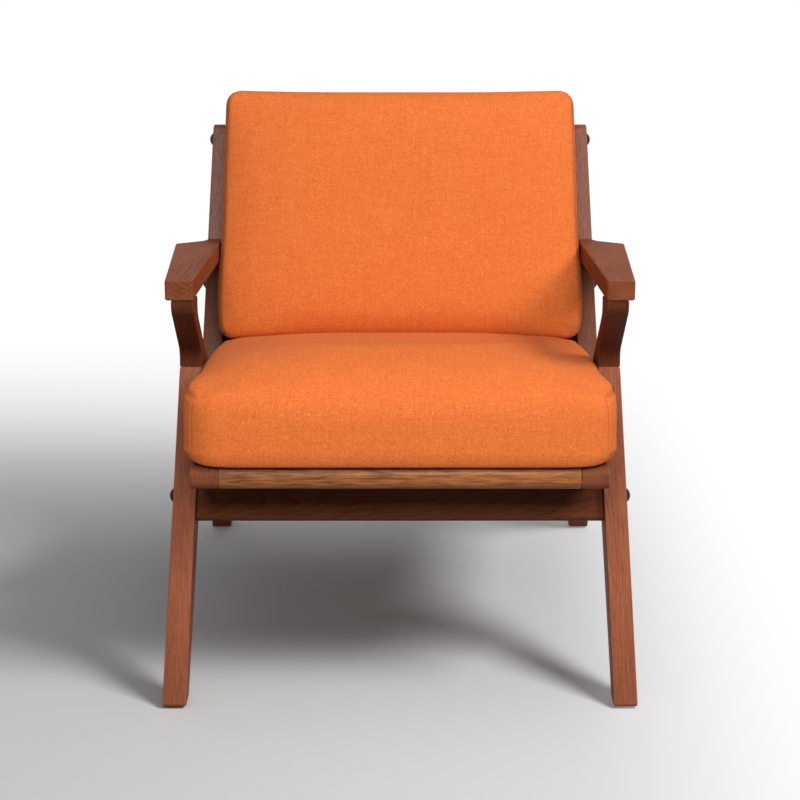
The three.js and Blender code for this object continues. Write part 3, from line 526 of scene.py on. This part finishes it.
class CHAIR_OT_side_frames(bpy.types.Operator):
    """Dress the legs, arm supports, armrests, posts and side rails"""

    bl_idname = "fireside.side_frames"
    bl_label = "Side frames"

    def execute(self, context):
        wood = sizes("wood")
        slope = sizes("cushions").seat_slope
        # The lean of the grain, the side of the log's heart, and the figure, whose tone is painted light and
        # shade: lighter for the lit front legs, darker for the arm supports in the armrests' shade
        grains = {
            "front_leg": (wood.leg_lean, 1.0, {"tone": 1.38, "gloss": 0.05}),
            "arm_support": (wood.support_lean, 1.4, {"tone": 0.62}),
            "armrest": (math.pi / 2 + wood.arm_drop, 0.55, {"tone": 1.08, "gloss": -0.006}),
            "back_post": (wood.post_lean, 1.0, {"tone": 0.92, "gloss": 0.12}),
            "side_rail": (math.pi / 2 + slope, 1.0, {"tone": 0.9}),
        }
        for hand, way in HANDS:
            for piece, (lean, heart, figure) in grains.items():
                dress_wood(hand + "_" + piece, rising(lean), heart=way * heart, **figure)
        return {"FINISHED"}


class CHAIR_OT_cross_boards(bpy.types.Operator):
    """Dress the apron, the stretcher and the four rails of the seat frame"""

    bl_idname = "fireside.cross_boards"
    bl_label = "Cross boards and seat frame"

    def execute(self, context):
        along_rail = rising(math.pi / 2 + sizes("cushions").seat_slope)
        boards = {
            # The apron's tone is painted shade, for the shade that falls on it under the nose rail.
            "front_apron": {"tone": 0.72, "heart": 0.42, "rise": -0.12, "taper": 0.10},
            "rear_stretcher": {"heart": 0.8},
            "seat_rear_rail": {"heart": 1.1},
        }
        for node, figure in boards.items():
            dress_wood(node, ACROSS, **figure)
        figure = {"heart": 0.7, "taper": 0.06, "streak": 0.72, "coarse": 2.2, "gloss": 0.12}
        dress_wood("seat_nose_rail", ACROSS, "nose_wood", **figure)
        for hand, way in HANDS:
            dress_wood(hand + "_seat_rail", along_rail, heart=way * 0.8, gloss=0.04)
        return {"FINISHED"}


class CHAIR_OT_back_frame(bpy.types.Operator):
    """Dress the stiles, rails and slats between the posts"""

    bl_idname = "fireside.back_frame"
    bl_label = "Back frame"

    def execute(self, context):
        up = rising(sizes("cushions").recline)
        for hand, way in HANDS:
            dress_wood(hand + "_back_stile", up, heart=way * 0.9)
        level = sorted(node for node in NODES if node.startswith("back_") and node != "back_cushion")
        for number, node in enumerate(level):
            dress_wood(node, ACROSS, heart=0.5 + 0.2 * number)
        return {"FINISHED"}


def spun(profile, segments):
    """Spins a profile of radii and heights round +Z into a closed shape."""
    sharp_above = math.radians(40)
    shape = bmesh.new()
    points = [shape.verts.new((radius, 0.0, height)) for radius, height in profile]
    edges = [shape.edges.new(pair) for pair in zip(points, points[1:])]
    turn = {"cent": (0, 0, 0), "axis": (0, 0, 1), "angle": math.tau, "steps": segments}
    bmesh.ops.spin(shape, geom=points + edges, use_merge=True, **turn)
    bmesh.ops.remove_doubles(shape, verts=shape.verts, dist=1e-6)
    bmesh.ops.recalc_face_normals(shape, faces=shape.faces)
    for face in shape.faces:
        face.smooth = True
    for edge in shape.edges:
        edge.smooth = edge.calc_face_angle(0.0) < sharp_above
    return shape


class CHAIR_OT_bolt_caps(bpy.types.Operator):
    """Turn the domed caps over the bolt heads"""

    bl_idname = "fireside.bolt_caps"
    bl_label = "Bolt caps"

    def execute(self, context):
        fittings = sizes("fittings")
        material = satin_cap("satin_cap")
        radius, height = fittings.cap_radius, fittings.cap_height
        stem_radius, stem_depth = radius / 2, 0.005
        lift, ease = 0.0003, 0.0004  # the rim's underside above the wood, and its rounding
        rim, rim_top, shoulder = 0.0012, 0.0013, 0.0018
        shoulder_inset, dome_inset = 0.0003, 0.0008
        dome = (radius**2 + (height - rim) ** 2) / (2 * (height - rim))
        sweep = math.asin((radius - dome_inset) / dome)
        profile = [
            (0.0, -stem_depth),
            (stem_radius, -stem_depth),
            (stem_radius, lift),
            (radius - ease, lift),
            (radius, lift + ease),
            (radius, rim_top),
            (radius - shoulder_inset, shoulder),
        ]
        steps = 12
        for step in range(steps + 1):
            turn = sweep * (1 - step / steps)
            profile.append((dome * math.sin(turn), height - dome * (1 - math.cos(turn))))
        for hand, way in HANDS:
            axis = Vector((way * math.cos(fittings.side_lean), 0.0, math.sin(fittings.side_lean)))
            for role in ("apron", "stretcher", "lower_back", "upper_back"):
                node = hand + "_" + role + "_bolt_cap"
                points = [vertex.co for vertex in NODES[node].data.vertices]
                apex = max(points, key=axis.dot)
                shape = spun(profile, segments=48)
                turn = axis.to_track_quat("Z", "Y").to_matrix().to_4x4()
                place = Matrix.Translation(apex - axis * height) @ turn
                bmesh.ops.transform(shape, matrix=place, verts=shape.verts)
                piece_from(shape, "domed_" + node, material, node)
        return {"FINISHED"}


class CHAIR_OT_glides(bpy.types.Operator):
    """Turn the nailed glides under the feet"""

    bl_idname = "fireside.glides"
    bl_label = "Glides"

    def execute(self, context):
        fittings = sizes("fittings")
        material = moulded_nylon("moulded_nylon")
        radius, height = fittings.glide_radius, fittings.glide_height
        head_radius, head_edge = 0.0020, 0.0016  # the nail's sunk head
        head_depth, edge_depth = 0.0006, 0.0005
        sole_inset, bend_inset, bend_rise = 0.0022, 0.0009, 0.0004  # the sole's rounded edge
        wall_inset, wall_rise = 0.0001, 0.0013
        top_inset, top_gap = 0.0006, 0.0003
        nail_radius, nail_tip = 0.0014, 0.0006
        for hand, _ in HANDS:
            for end in ("front", "rear"):
                node = hand + "_" + end + "_glide"
                low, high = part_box(node)
                profile = [
                    (0.0, head_depth),
                    (head_edge, edge_depth),
                    (head_radius, 0.0),
                    (radius - sole_inset, 0.0),
                    (radius - bend_inset, bend_rise),
                    (radius - wall_inset, wall_rise),
                    (radius - 2 * wall_inset, height - 2 * top_gap),
                    (radius - top_inset, height - top_gap),
                    (nail_radius, height - top_gap),
                    (nail_radius, high.z - low.z - nail_tip),
                    (0.0, high.z - low.z),
                ]
                shape = spun(profile, segments=40)
                middle = (low + high) / 2
                bmesh.ops.translate(shape, vec=(middle.x, middle.y, low.z), verts=shape.verts)
                piece_from(shape, "nylon_" + node, material, node)
        return {"FINISHED"}


class CHAIR_OT_fixings(bpy.types.Operator):
    """Give the bolts, screws and dowels their metal and bare wood"""

    bl_idname = "fireside.fixings"
    bl_label = "Bolts, screws and dowels"

    def execute(self, context):
        wood = sizes("wood")
        steel = brushed_steel("brushed_steel")
        up = rising(sizes("cushions").seat_slope)
        shades = tuple(wood.beech_light), tuple(wood.beech_dark)
        beech = stained_wood("bare_beech", up, (0, 0, 0), *shades, heart=0.6)
        finishes = {"_bolt": steel, "_screw": steel, "_dowel_1": beech, "_dowel_2": beech}
        for node, holder in NODES.items():
            for ending, material in finishes.items():
                if node.endswith(ending):
                    holder.data.materials.clear()
                    holder.data.materials.append(material)
        return {"FINISHED"}


def laid(node, turn):
    """A node's lowest and highest corners, measured along axes that are turned about X."""
    axes = np.array(Matrix.Rotation(turn, 3, "X"))
    points = np.array([vertex.co for vertex in NODES[node].data.vertices]) @ axes
    return points.min(0), points.max(0), axes


def edges_along(shape, axis, least):
    """The edges that reach further than a least length along an axis."""
    return [edge for edge in shape.edges if abs((edge.verts[0].co - edge.verts[1].co)[axis]) > least]


class CHAIR_OT_webbing(bpy.types.Operator):
    """Lay the six elastic straps across the seat frame"""

    bl_idname = "fireside.webbing"
    bl_label = "Webbing"

    def execute(self, context):
        slope = sizes("cushions").seat_slope
        material = elastic_webbing("elastic_webbing")
        rounding_share, cuts = 0.42, 24
        for node in sorted(n for n in NODES if n.startswith("seat_strap_")):
            low, high, axes = laid(node, -slope)
            shape = bmesh.new()
            bmesh.ops.create_cube(shape, size=1.0)
            size = high - low
            bmesh.ops.scale(shape, vec=tuple(size), verts=shape.verts)
            rounding = {"offset": size[2] * rounding_share, "segments": 3, "profile": 0.5}
            lengthways = edges_along(shape, 0, size[0] / 2)
            bmesh.ops.bevel(shape, geom=lengthways, affect="EDGES", material=-1, **rounding)
            lengthways = edges_along(shape, 0, size[0] / 2)
            bmesh.ops.subdivide_edges(shape, edges=lengthways, cuts=cuts, use_grid_fill=True)
            weave = shape.loops.layers.uv.new("weave")
            for face in shape.faces:
                face.smooth = True
                for loop in face.loops:
                    loop[weave].uv = (loop.vert.co.x, loop.vert.co.y + loop.vert.co.z * 0.5)
            place = Matrix(axes.tolist()).to_4x4() @ Matrix.Translation(Vector((low + high) / 2))
            bmesh.ops.transform(shape, matrix=place, verts=shape.verts)
            piece_from(shape, "woven_" + node, material, node)
        return {"FINISHED"}


def panelled_cube(half_sizes, row):
    """A cube cut into rows that crowd together towards its edges, where the seams will run."""
    crowding, fewest_cuts = 0.3, 4
    shape = bmesh.new()
    bmesh.ops.create_cube(shape, size=2.0)
    for axis in range(3):
        cuts = max(fewest_cuts, round(2 * half_sizes[axis] / row) - 1)
        bmesh.ops.subdivide_edges(shape, edges=edges_along(shape, axis, 1e-4), cuts=cuts, use_grid_fill=True)
    grid = shape.verts.layers.float_vector.new("grid")
    for vertex in shape.verts:
        vertex.co = Vector([(1 + crowding) * t - crowding * t**3 for t in vertex.co])
        vertex[grid] = vertex.co
    return shape


def fall(reach, power):
    """Height of a cushion's section, 1 in the middle and 0 at its widest line."""
    return (1 - np.clip(np.abs(reach), 0, 1) ** power) ** (1 / power)


def pillow(grid, half_width, half_length, corner, crown, base):
    """Lays the cube's points on a crowned form: across, along, and from -1 on its base to 1 on its crown.

    Crown and base each hold how square the section is: across at the front and at the rear, then along in the
    front half and in the rear half.
    """
    front, change, softness = -0.9, 1.1, 6.0
    base_seam, crown_seam = 0.66, 0.62
    a, b, c = grid.T
    edge = np.maximum(np.abs(a), np.abs(b)).clip(1e-6, None)
    back = np.clip((b - front) / change, 0, 1)
    across = np.where(c < 0, base[0] + (base[1] - base[0]) * back, crown[0] + (crown[1] - crown[0]) * back)
    along = np.where(c < 0, np.where(b < 0, base[2], base[3]), np.where(b < 0, crown[2], crown[3]))
    seam_height = np.where(c < 0, base_seam, crown_seam)

    def crowned(first, second):
        low = fall(first * fall(seam_height, across), across) ** -softness
        high = fall(second * fall(seam_height, along), along) ** -softness
        return (low + high - 1) ** (-1 / softness)

    sideways = np.abs(a / edge) ** 4 / (np.abs(a / edge) ** 4 + np.abs(b / edge) ** 4 + 1e-9)
    power = across * sideways + along * (1 - sideways)
    border = crowned(a / edge, b / edge)
    is_lid = np.abs(c) > 1 - 1e-6
    height = np.where(is_lid, np.sign(c) * crowned(a, b), c * border)
    reach = np.where(is_lid, edge * fall(border, power), fall(height, power))
    half = np.array([half_width, half_length])
    flat = np.stack([a / edge, b / edge], 1) * half
    inner = flat.clip(corner - half, half - corner)
    outwards = flat - inner
    size = np.linalg.norm(outwards, axis=1, keepdims=True).clip(1e-9, None)
    rounded = (inner + outwards / size * corner) * reach[:, None]
    plain = flat * reach[:, None]
    blend = (edge**6)[:, None]
    plan = plain * (1 - blend) + rounded * blend
    return plan[:, 0], plan[:, 1], height


def arc(place, *path):
    """Length of the way along a path over the cube, at each of its points."""
    points = place(np.stack(np.broadcast_arrays(*path), 1))
    steps = np.linalg.norm(np.diff(points, axis=0), axis=1)
    return np.concatenate([[0.0], np.cumsum(steps)])


def map_weave(shape, place):
    """Gives each panel a map in metres: one wraps round the cushion, and one closes each end."""
    grid = shape.verts.layers.float_vector["grid"]
    weave = shape.loops.layers.uv.new("weave")
    samples = 161
    t = np.linspace(-1, 1, samples)
    across = arc(place, t, 0.0, 1.0)
    lid = arc(place, 0.0, -t, 1.0)
    front = arc(place, 0.0, -1.0, -t)
    underside = arc(place, 0.0, t, -1.0)
    deep = arc(place, 1.0, t, 0.0)
    tall = arc(place, 1.0, 0.0, t)
    starts = np.cumsum([0.0, lid[-1], front[-1], underside[-1]])

    def run(values, at):
        return float(np.interp(at, t, values))

    for face in shape.faces:
        points = [loop.vert[grid] for loop in face.loops]
        middle = sum(points, Vector()) / len(points)
        side = max(range(3), key=lambda axis: abs(middle[axis]))
        for loop, (a, b, c) in zip(face.loops, points):
            if side == 0:
                uv = (run(deep, b), run(tall, c))
            elif side == 2 and middle.z > 0:
                uv = (run(across, a), starts[0] + run(lid, -b))
            elif side == 1 and middle.y < 0:
                uv = (run(across, a), starts[1] + run(front, -c))
            elif side == 2:
                uv = (run(across, a), starts[2] + run(underside, b))
            else:
                uv = (run(across, a), starts[3] + run(front, c))
            loop[weave].uv = uv


def vectors_of(items, field="co"):
    values = np.empty(len(items) * 3)
    items.foreach_get(field, values)
    return values.reshape(-1, 3)


def move_points(mesh, points):
    mesh.vertices.foreach_set("co", points.ravel())
    mesh.update()


def evened(mesh, moved, loose):
    """Evens out how far neighbouring points move, so that the cover has no small wrinkles.

    The points that aren't loose, on the seams, stay as they are through the first passes.
    """
    passes, held_passes = 70, 12
    first, second = np.array([edge.vertices[:] for edge in mesh.edges]).T
    count = np.bincount(np.concatenate([first, second]), minlength=len(moved))[:, None]
    for number in range(passes):
        total = np.zeros_like(moved)
        np.add.at(total, first, moved[second])
        np.add.at(total, second, moved[first])
        free = loose | (number >= held_passes)
        moved = np.where(free[:, None], (moved + total / count) / 2, moved)
    return moved


def blow_up(piece, most, held, rested):
    """Lets pressure fill the cover as cloth for some frames; no point moves further than the most."""
    frames = 20
    scene = bpy.context.scene
    group = piece.vertex_groups.new(name="held")
    for value in (BASE_HOLD, 1.0):
        chosen = np.nonzero(np.isclose(held, value))[0].tolist()
        group.add(chosen, value, "REPLACE")
    cloth = piece.modifiers.new("filling", "CLOTH")
    settings = cloth.settings
    settings.quality = 5
    settings.mass = 0.25
    settings.tension_stiffness = 25
    settings.compression_stiffness = 25
    settings.shear_stiffness = 12
    settings.bending_stiffness = 1.5
    settings.use_pressure = True
    settings.uniform_pressure_force = 4
    settings.effector_weights.gravity = 0
    settings.vertex_group_mass = "held"
    cloth.point_cache.frame_start = 1
    cloth.point_cache.frame_end = frames
    start = vectors_of(piece.data.vertices)
    for number in range(1, frames + 1):
        scene.frame_set(number)
    blown = piece.evaluated_get(bpy.context.evaluated_depsgraph_get())
    moved = evened(piece.data, vectors_of(blown.data.vertices) - start, held < 1.0)
    far = np.linalg.norm(moved, axis=1, keepdims=True).clip(1e-9, None)
    piece.modifiers.remove(cloth)
    move_points(piece.data, rested(start + moved * np.minimum(1, most / far)))
    scene.frame_set(1)


def finer(piece):
    """Applies one level of subdivision."""
    levels = piece.modifiers.new("finer", "SUBSURF")
    levels.levels = levels.render_levels = 1
    levels.uv_smooth = "PRESERVE_CORNERS"
    made = bpy.data.meshes.new_from_object(piece.evaluated_get(bpy.context.evaluated_depsgraph_get()))
    piece.modifiers.remove(levels)
    piece.data = made


def ripple(first, second, seed):
    """Smooth waves that never quite repeat, for the puckers along a seam."""
    return (
        np.sin(first + seed)
        + 0.7 * np.sin(first * 1.73 + second * 0.61 + seed * 2.1)
        + 0.5 * np.sin(first * 2.9 - second * 1.3 + seed * 3.7)
    ) / 2.2


def sew(piece, half_sizes, seed):
    """Draws the cover in along the seams round its two ends, with puckers that grow towards the corners."""
    crease_width, welt_place, welt_width, welt_height = 0.0022, 0.0065, 0.0035, 0.0004
    pucker_pitch, pucker_drift, pucker_reach, pucker_depth = 0.0042, 0.01, 0.014, 0.0003
    corner_reach, corner_depth, corner_ease = 0.030, 0.0006, 0.7
    end_shift = 1.7  # so that the two ends don't mirror each other
    cushions = sizes("cushions")
    mesh = piece.data
    a, b, c = vectors_of(mesh.attributes["grid"].data, "vector").T
    points = vectors_of(mesh.vertices)
    normals = np.array([vertex.normal for vertex in mesh.vertices])
    from_side = (1 - np.abs(a)) * half_sizes[0]
    from_end = (1 - np.abs(b)) * half_sizes[1]
    from_face = (1 - np.abs(c)) * half_sizes[2]
    from_seam = np.where(np.abs(a) > NEARLY_ONE, np.minimum(from_end, from_face), from_side)
    along = np.where(np.abs(c) > NEARLY_ONE, b * half_sizes[1], c * half_sizes[2])
    corner = np.exp(-np.hypot(from_end, from_face) / corner_reach)
    crease = np.exp(-((from_seam / crease_width) ** 2)) * (1 - corner_ease * corner)
    welt = np.exp(-(((from_seam - welt_place) / welt_width) ** 2))
    near = np.exp(-from_seam / pucker_reach)
    waves = ripple(along / pucker_pitch, from_seam / pucker_drift, seed + np.sign(a) * end_shift)
    puckers = (pucker_depth + corner_depth * corner) * near * waves
    depth = welt_height * welt + puckers - cushions.seam * crease
    move_points(mesh, points + normals * depth[:, None])
    # The crease weight is stored for the tweed's painted shade along the seams.
    sewn = mesh.attributes.new("sewn", "FLOAT", "POINT")
    sewn.data.foreach_set("value", crease)
    mesh.shade_smooth()


def make_cushion(name, node, half_sizes, place, rested, seed, zip_side):
    """A cover of one wrapped panel and two end panels, blown up, eased to rest, refined and sewn."""
    cushions = sizes("cushions")
    shape = panelled_cube(half_sizes, cushions.row)
    map_weave(shape, place)
    layer = shape.verts.layers.float_vector["grid"]
    grid = np.array([vertex[layer] for vertex in shape.verts])
    for vertex, point in zip(shape.verts, place(grid)):
        vertex.co = point
    bmesh.ops.recalc_face_normals(shape, faces=shape.faces)
    cloth = tweed(name + "_tweed", half_sizes, zip_side)
    piece = piece_from(shape, name, cloth, node)
    a, b, c = grid.T
    seam = (np.abs(a) > NEARLY_ONE) & (np.maximum(np.abs(b), np.abs(c)) > NEARLY_ONE)
    held = np.where(seam, 1.0, np.where(c < -NEARLY_ONE, BASE_HOLD, 0.0))
    blow_up(piece, cushions.swell, held, rested)
    finer(piece)
    sew(piece, half_sizes, seed)


class CHAIR_OT_seat_cushion(bpy.types.Operator):
    """Fill and sew the seat cushion, which is wider in front of the legs"""

    bl_idname = "fireside.seat_cushion"
    bl_label = "Seat cushion"

    def execute(self, context):
        cushions = sizes("cushions")
        low, high, axes = laid("seat_cushion", -cushions.seat_slope)
        half_width = high[0] + cushions.seat_grow
        front = low[1] - cushions.seat_grow
        half_length = (high[1] - front) / 2
        middle = (high[1] + front) / 2
        widest = low[2] + cushions.base
        crown = high[2] - widest - cushions.seat_slack
        crown_squareness = (5.6, 15.0, 3.4, 8.0)
        base_squareness = (10.0, 10.0, 32.0, 24.0)
        pressed_from, pressed_to, pressed_share = -0.26, -0.10, 0.6  # under the back cushion

        def place(grid):
            squareness = crown_squareness, base_squareness
            x, y, height = pillow(grid, half_width, half_length, cushions.corner, *squareness)
            narrowing = smooth_step(y + half_length, cushions.flare_start, cushions.flare_end)
            x = x * (1 - cushions.flare / half_width * narrowing)
            z = widest + np.where(height < 0, height * cushions.base, height * crown)
            return np.stack([x, middle + y, z], 1) @ axes.T

        def rested(points):
            laid_out = points @ axes
            pressed = smooth_step(laid_out[:, 1], pressed_from, pressed_to) * pressed_share
            above = (laid_out[:, 2] - high[2] + cushions.pressed).clip(0, None)
            laid_out[:, 2] = (laid_out[:, 2] - pressed * above).clip(low[2], None)
            return laid_out @ axes.T

        half_sizes = (half_width, half_length, (high[2] - low[2]) * BORDER_SHARE)
        sewing = {"seed": 0.4, "zip_side": 1.0}
        make_cushion("filled_seat_cushion", "seat_cushion", half_sizes, place, rested, **sewing)
        return {"FINISHED"}


class CHAIR_OT_back_cushion(bpy.types.Operator):
    """Fill and sew the back cushion, whose rear fits between the posts"""

    bl_idname = "fireside.back_cushion"
    bl_label = "Back cushion"

    def execute(self, context):
        cushions = sizes("cushions")
        low, high, axes = laid("back_cushion", -cushions.recline)
        bottom = high[2] - cushions.back_lowered - cushions.back_height
        rear = high[1]
        widest = rear - cushions.back_rear
        front_depth = widest - low[1]
        wedge = math.tan(cushions.recline - cushions.seat_slope)
        crown_squareness = (8.0, 8.0, 5.0, 5.0)
        base_squareness = (9.0, 9.0, 9.0, 9.0)
        plain_half_width = 0.285
        bulge_middle_share, bulge_reach_share = 0.18, 0.16  # of the cushion's height
        foot_half_width, post_inset = 0.340, 0.0343
        lean_in, floor_gap = math.radians(2.25), 0.003

        def room(y, z):
            """Half the distance between the posts, which lean in, at a point beside the cushion."""
            above_floor = y * axes[2][1] + z * axes[2][2] - floor_gap
            return foot_half_width - post_inset - above_floor * math.tan(lean_in)

        def place(grid):
            half_height = cushions.back_height / 2
            squareness = crown_squareness, base_squareness
            x, up, height = pillow(grid, plain_half_width, half_height, cushions.back_corner, *squareness)
            y = widest - np.where(height < 0, height * cushions.back_rear, height * front_depth)
            risen = (up + half_height) / cushions.back_height
            z = bottom + risen * cushions.back_height - (rear - y) * wedge * (1 - risen)
            bulge = cushions.bulge * np.exp(-(((risen - bulge_middle_share) / bulge_reach_share) ** 2))
            beside = cushions.lap * risen - cushions.gap * (1 - risen) + bulge
            spread = np.where(height < 0, -cushions.post_gap, beside)
            return np.stack([x / plain_half_width * (room(y, z) + spread), y, z], 1) @ axes.T

        def rested(points):
            laid_out = points @ axes
            beyond = (low[1] - laid_out[:, 1]).clip(0, None)
            eased = beyond / (1 + beyond / cushions.back_give)
            laid_out[:, 1] = (laid_out[:, 1] + beyond - eased).clip(None, rear)
            return laid_out @ axes.T

        half_sizes = (plain_half_width, cushions.back_height / 2, (rear - low[1]) * BORDER_SHARE)
        sewing = {"seed": 2.6, "zip_side": -1.0}
        make_cushion("filled_back_cushion", "back_cushion", half_sizes, place, rested, **sewing)
        return {"FINISHED"}


def lamp(name, position, width, height, energy):
    """A rectangular lamp that is aimed at the middle of the chair."""
    target = Vector((0.0, 0.0, 0.35))
    data = bpy.data.lights.new(name, "AREA")
    data.shape = "RECTANGLE"
    data.size = width
    data.size_y = height
    data.energy = energy
    made = added(name, data)
    made.location = position
    made.rotation_euler = (target - Vector(position)).to_track_quat("-Z", "Y").to_euler()
    return made


class CHAIR_OT_stage(bpy.types.Operator):
    """Set up the floor, the light and the camera"""

    bl_idname = "fireside.stage"
    bl_label = "Stage"

    def execute(self, context):
        stage = sizes("stage")
        scene = context.scene
        floor_reach = 40.0
        right_fade, left_fade = (0.2, 0.65), (-2.4, -1.2)
        rear_fade, front_fade = (0.1, 1.6), (-2.1, -0.9)
        black, white = (0.0, 0.0, 0.0), (1.0, 1.0, 1.0)
        finish = Finish("pale_floor")
        x, y, _ = finish.split(finish.placed())
        clouded = finish.flecks((3.0, 3.0, 3.0), 2.0)
        tone = finish.mix(clouded * 0.4, tuple(stage.floor), toned(stage.floor, 0.98))
        from_camera = finish.node("LightPath", output="Is Camera Ray")
        seen = from_camera + finish.node("LightPath", output="Is Glossy Ray")
        # Painted light: the floor glows white for camera and glossy rays everywhere but in a soft-edged patch
        # round the chair and its shadow, which reaches to the left and the front.
        shaded = (1.0 - x.between(*right_fade)) * (1.0 - y.between(*rear_fade))
        painted_glow = seen * (1.0 - shaded * x.between(*left_fade) * y.between(*front_fade))
        shown = finish.mix(seen, tuple(stage.bounce), tone)
        material = finish.surface(
            base_color=finish.mix(painted_glow, shown, black),
            roughness=0.9,
            specular_ior_level=0.0,
            emission_color=finish.mix(painted_glow, black, white),
            emission_strength=1.0,
        )
        shape = bmesh.new()
        bmesh.ops.create_grid(shape, x_segments=1, y_segments=1, size=floor_reach)
        floor = object_from(shape, "pale_floor", material)

        room = Finish("bright_room", bpy.data.worlds.new("bright_room"))
        hidden = 1.0
        for ray in ("Is Camera Ray", "Is Glossy Ray", "Is Transmission Ray"):
            hidden = (1.0 - room.node("LightPath", output=ray)) * hidden
        strength = 1.0 - hidden * (1.0 - stage.sky)
        lit = room.node("Background", inputs={"Color": white, "Strength": strength})
        room.node("OutputWorld", inputs={0: lit})
        scene.world = room.owner

        lamp("key", (2.1, -1.3, 2.75), 1.1, 1.1, stage.key)
        lamp("top", (0.3, -0.3, 3.4), 2.5, 2.5, stage.top)
        fill = lamp("fill", (0.0, -3.0, 2.6), 2.0, 1.2, stage.fill)
        flagged = bpy.data.collections.new("kept_from_fill")
        flagged.objects.link(floor)
        fill.light_linking.receiver_collection = flagged
        flagged.collection_objects[0].light_linking.link_state = "EXCLUDE"

        data = bpy.data.cameras.new("camera")
        data.lens = stage.lens
        data.sensor_width = stage.sensor
        camera = added("camera", data)
        camera.location = (0.0, -stage.distance, stage.height)
        camera.rotation_euler = (math.pi / 2 - stage.pitch, 0.0, 0.0)
        scene.camera = camera
        scene.view_settings.view_transform = "Standard"
        return {"FINISHED"}


OPERATORS = (
    CHAIR_OT_stage,
    CHAIR_OT_side_frames,
    CHAIR_OT_cross_boards,
    CHAIR_OT_back_frame,
    CHAIR_OT_bolt_caps,
    CHAIR_OT_glides,
    CHAIR_OT_fixings,
    CHAIR_OT_webbing,
    CHAIR_OT_seat_cushion,
    CHAIR_OT_back_cushion,
)


class CHAIR_PT_pieces(bpy.types.Panel):
    """Lists the chair's pieces in the sidebar"""

    bl_idname = "CHAIR_PT_pieces"
    bl_label = "Fireside chair"
    bl_space_type = "VIEW_3D"
    bl_region_type = "UI"
    bl_category = "Fireside chair"

    def draw(self, context):
        for operator in OPERATORS:
            self.layout.operator(operator.bl_idname)


def register():
    for group, kind in GROUPS.items():
        bpy.utils.register_class(kind)
        setattr(bpy.types.Scene, "fireside_" + group, bpy.props.PointerProperty(type=kind))
    for operator in OPERATORS:
        bpy.utils.register_class(operator)
    bpy.utils.register_class(CHAIR_PT_pieces)


def unregister():
    bpy.utils.unregister_class(CHAIR_PT_pieces)
    for operator in reversed(OPERATORS):
        bpy.utils.unregister_class(operator)
    for group, kind in GROUPS.items():
        delattr(bpy.types.Scene, "fireside_" + group)
        bpy.utils.unregister_class(kind)


def main():
    register()
    for operator in OPERATORS:
        family, piece = operator.bl_idname.split(".")
        getattr(getattr(bpy.ops, family), piece)()


if __name__ == "__main__":
    main()
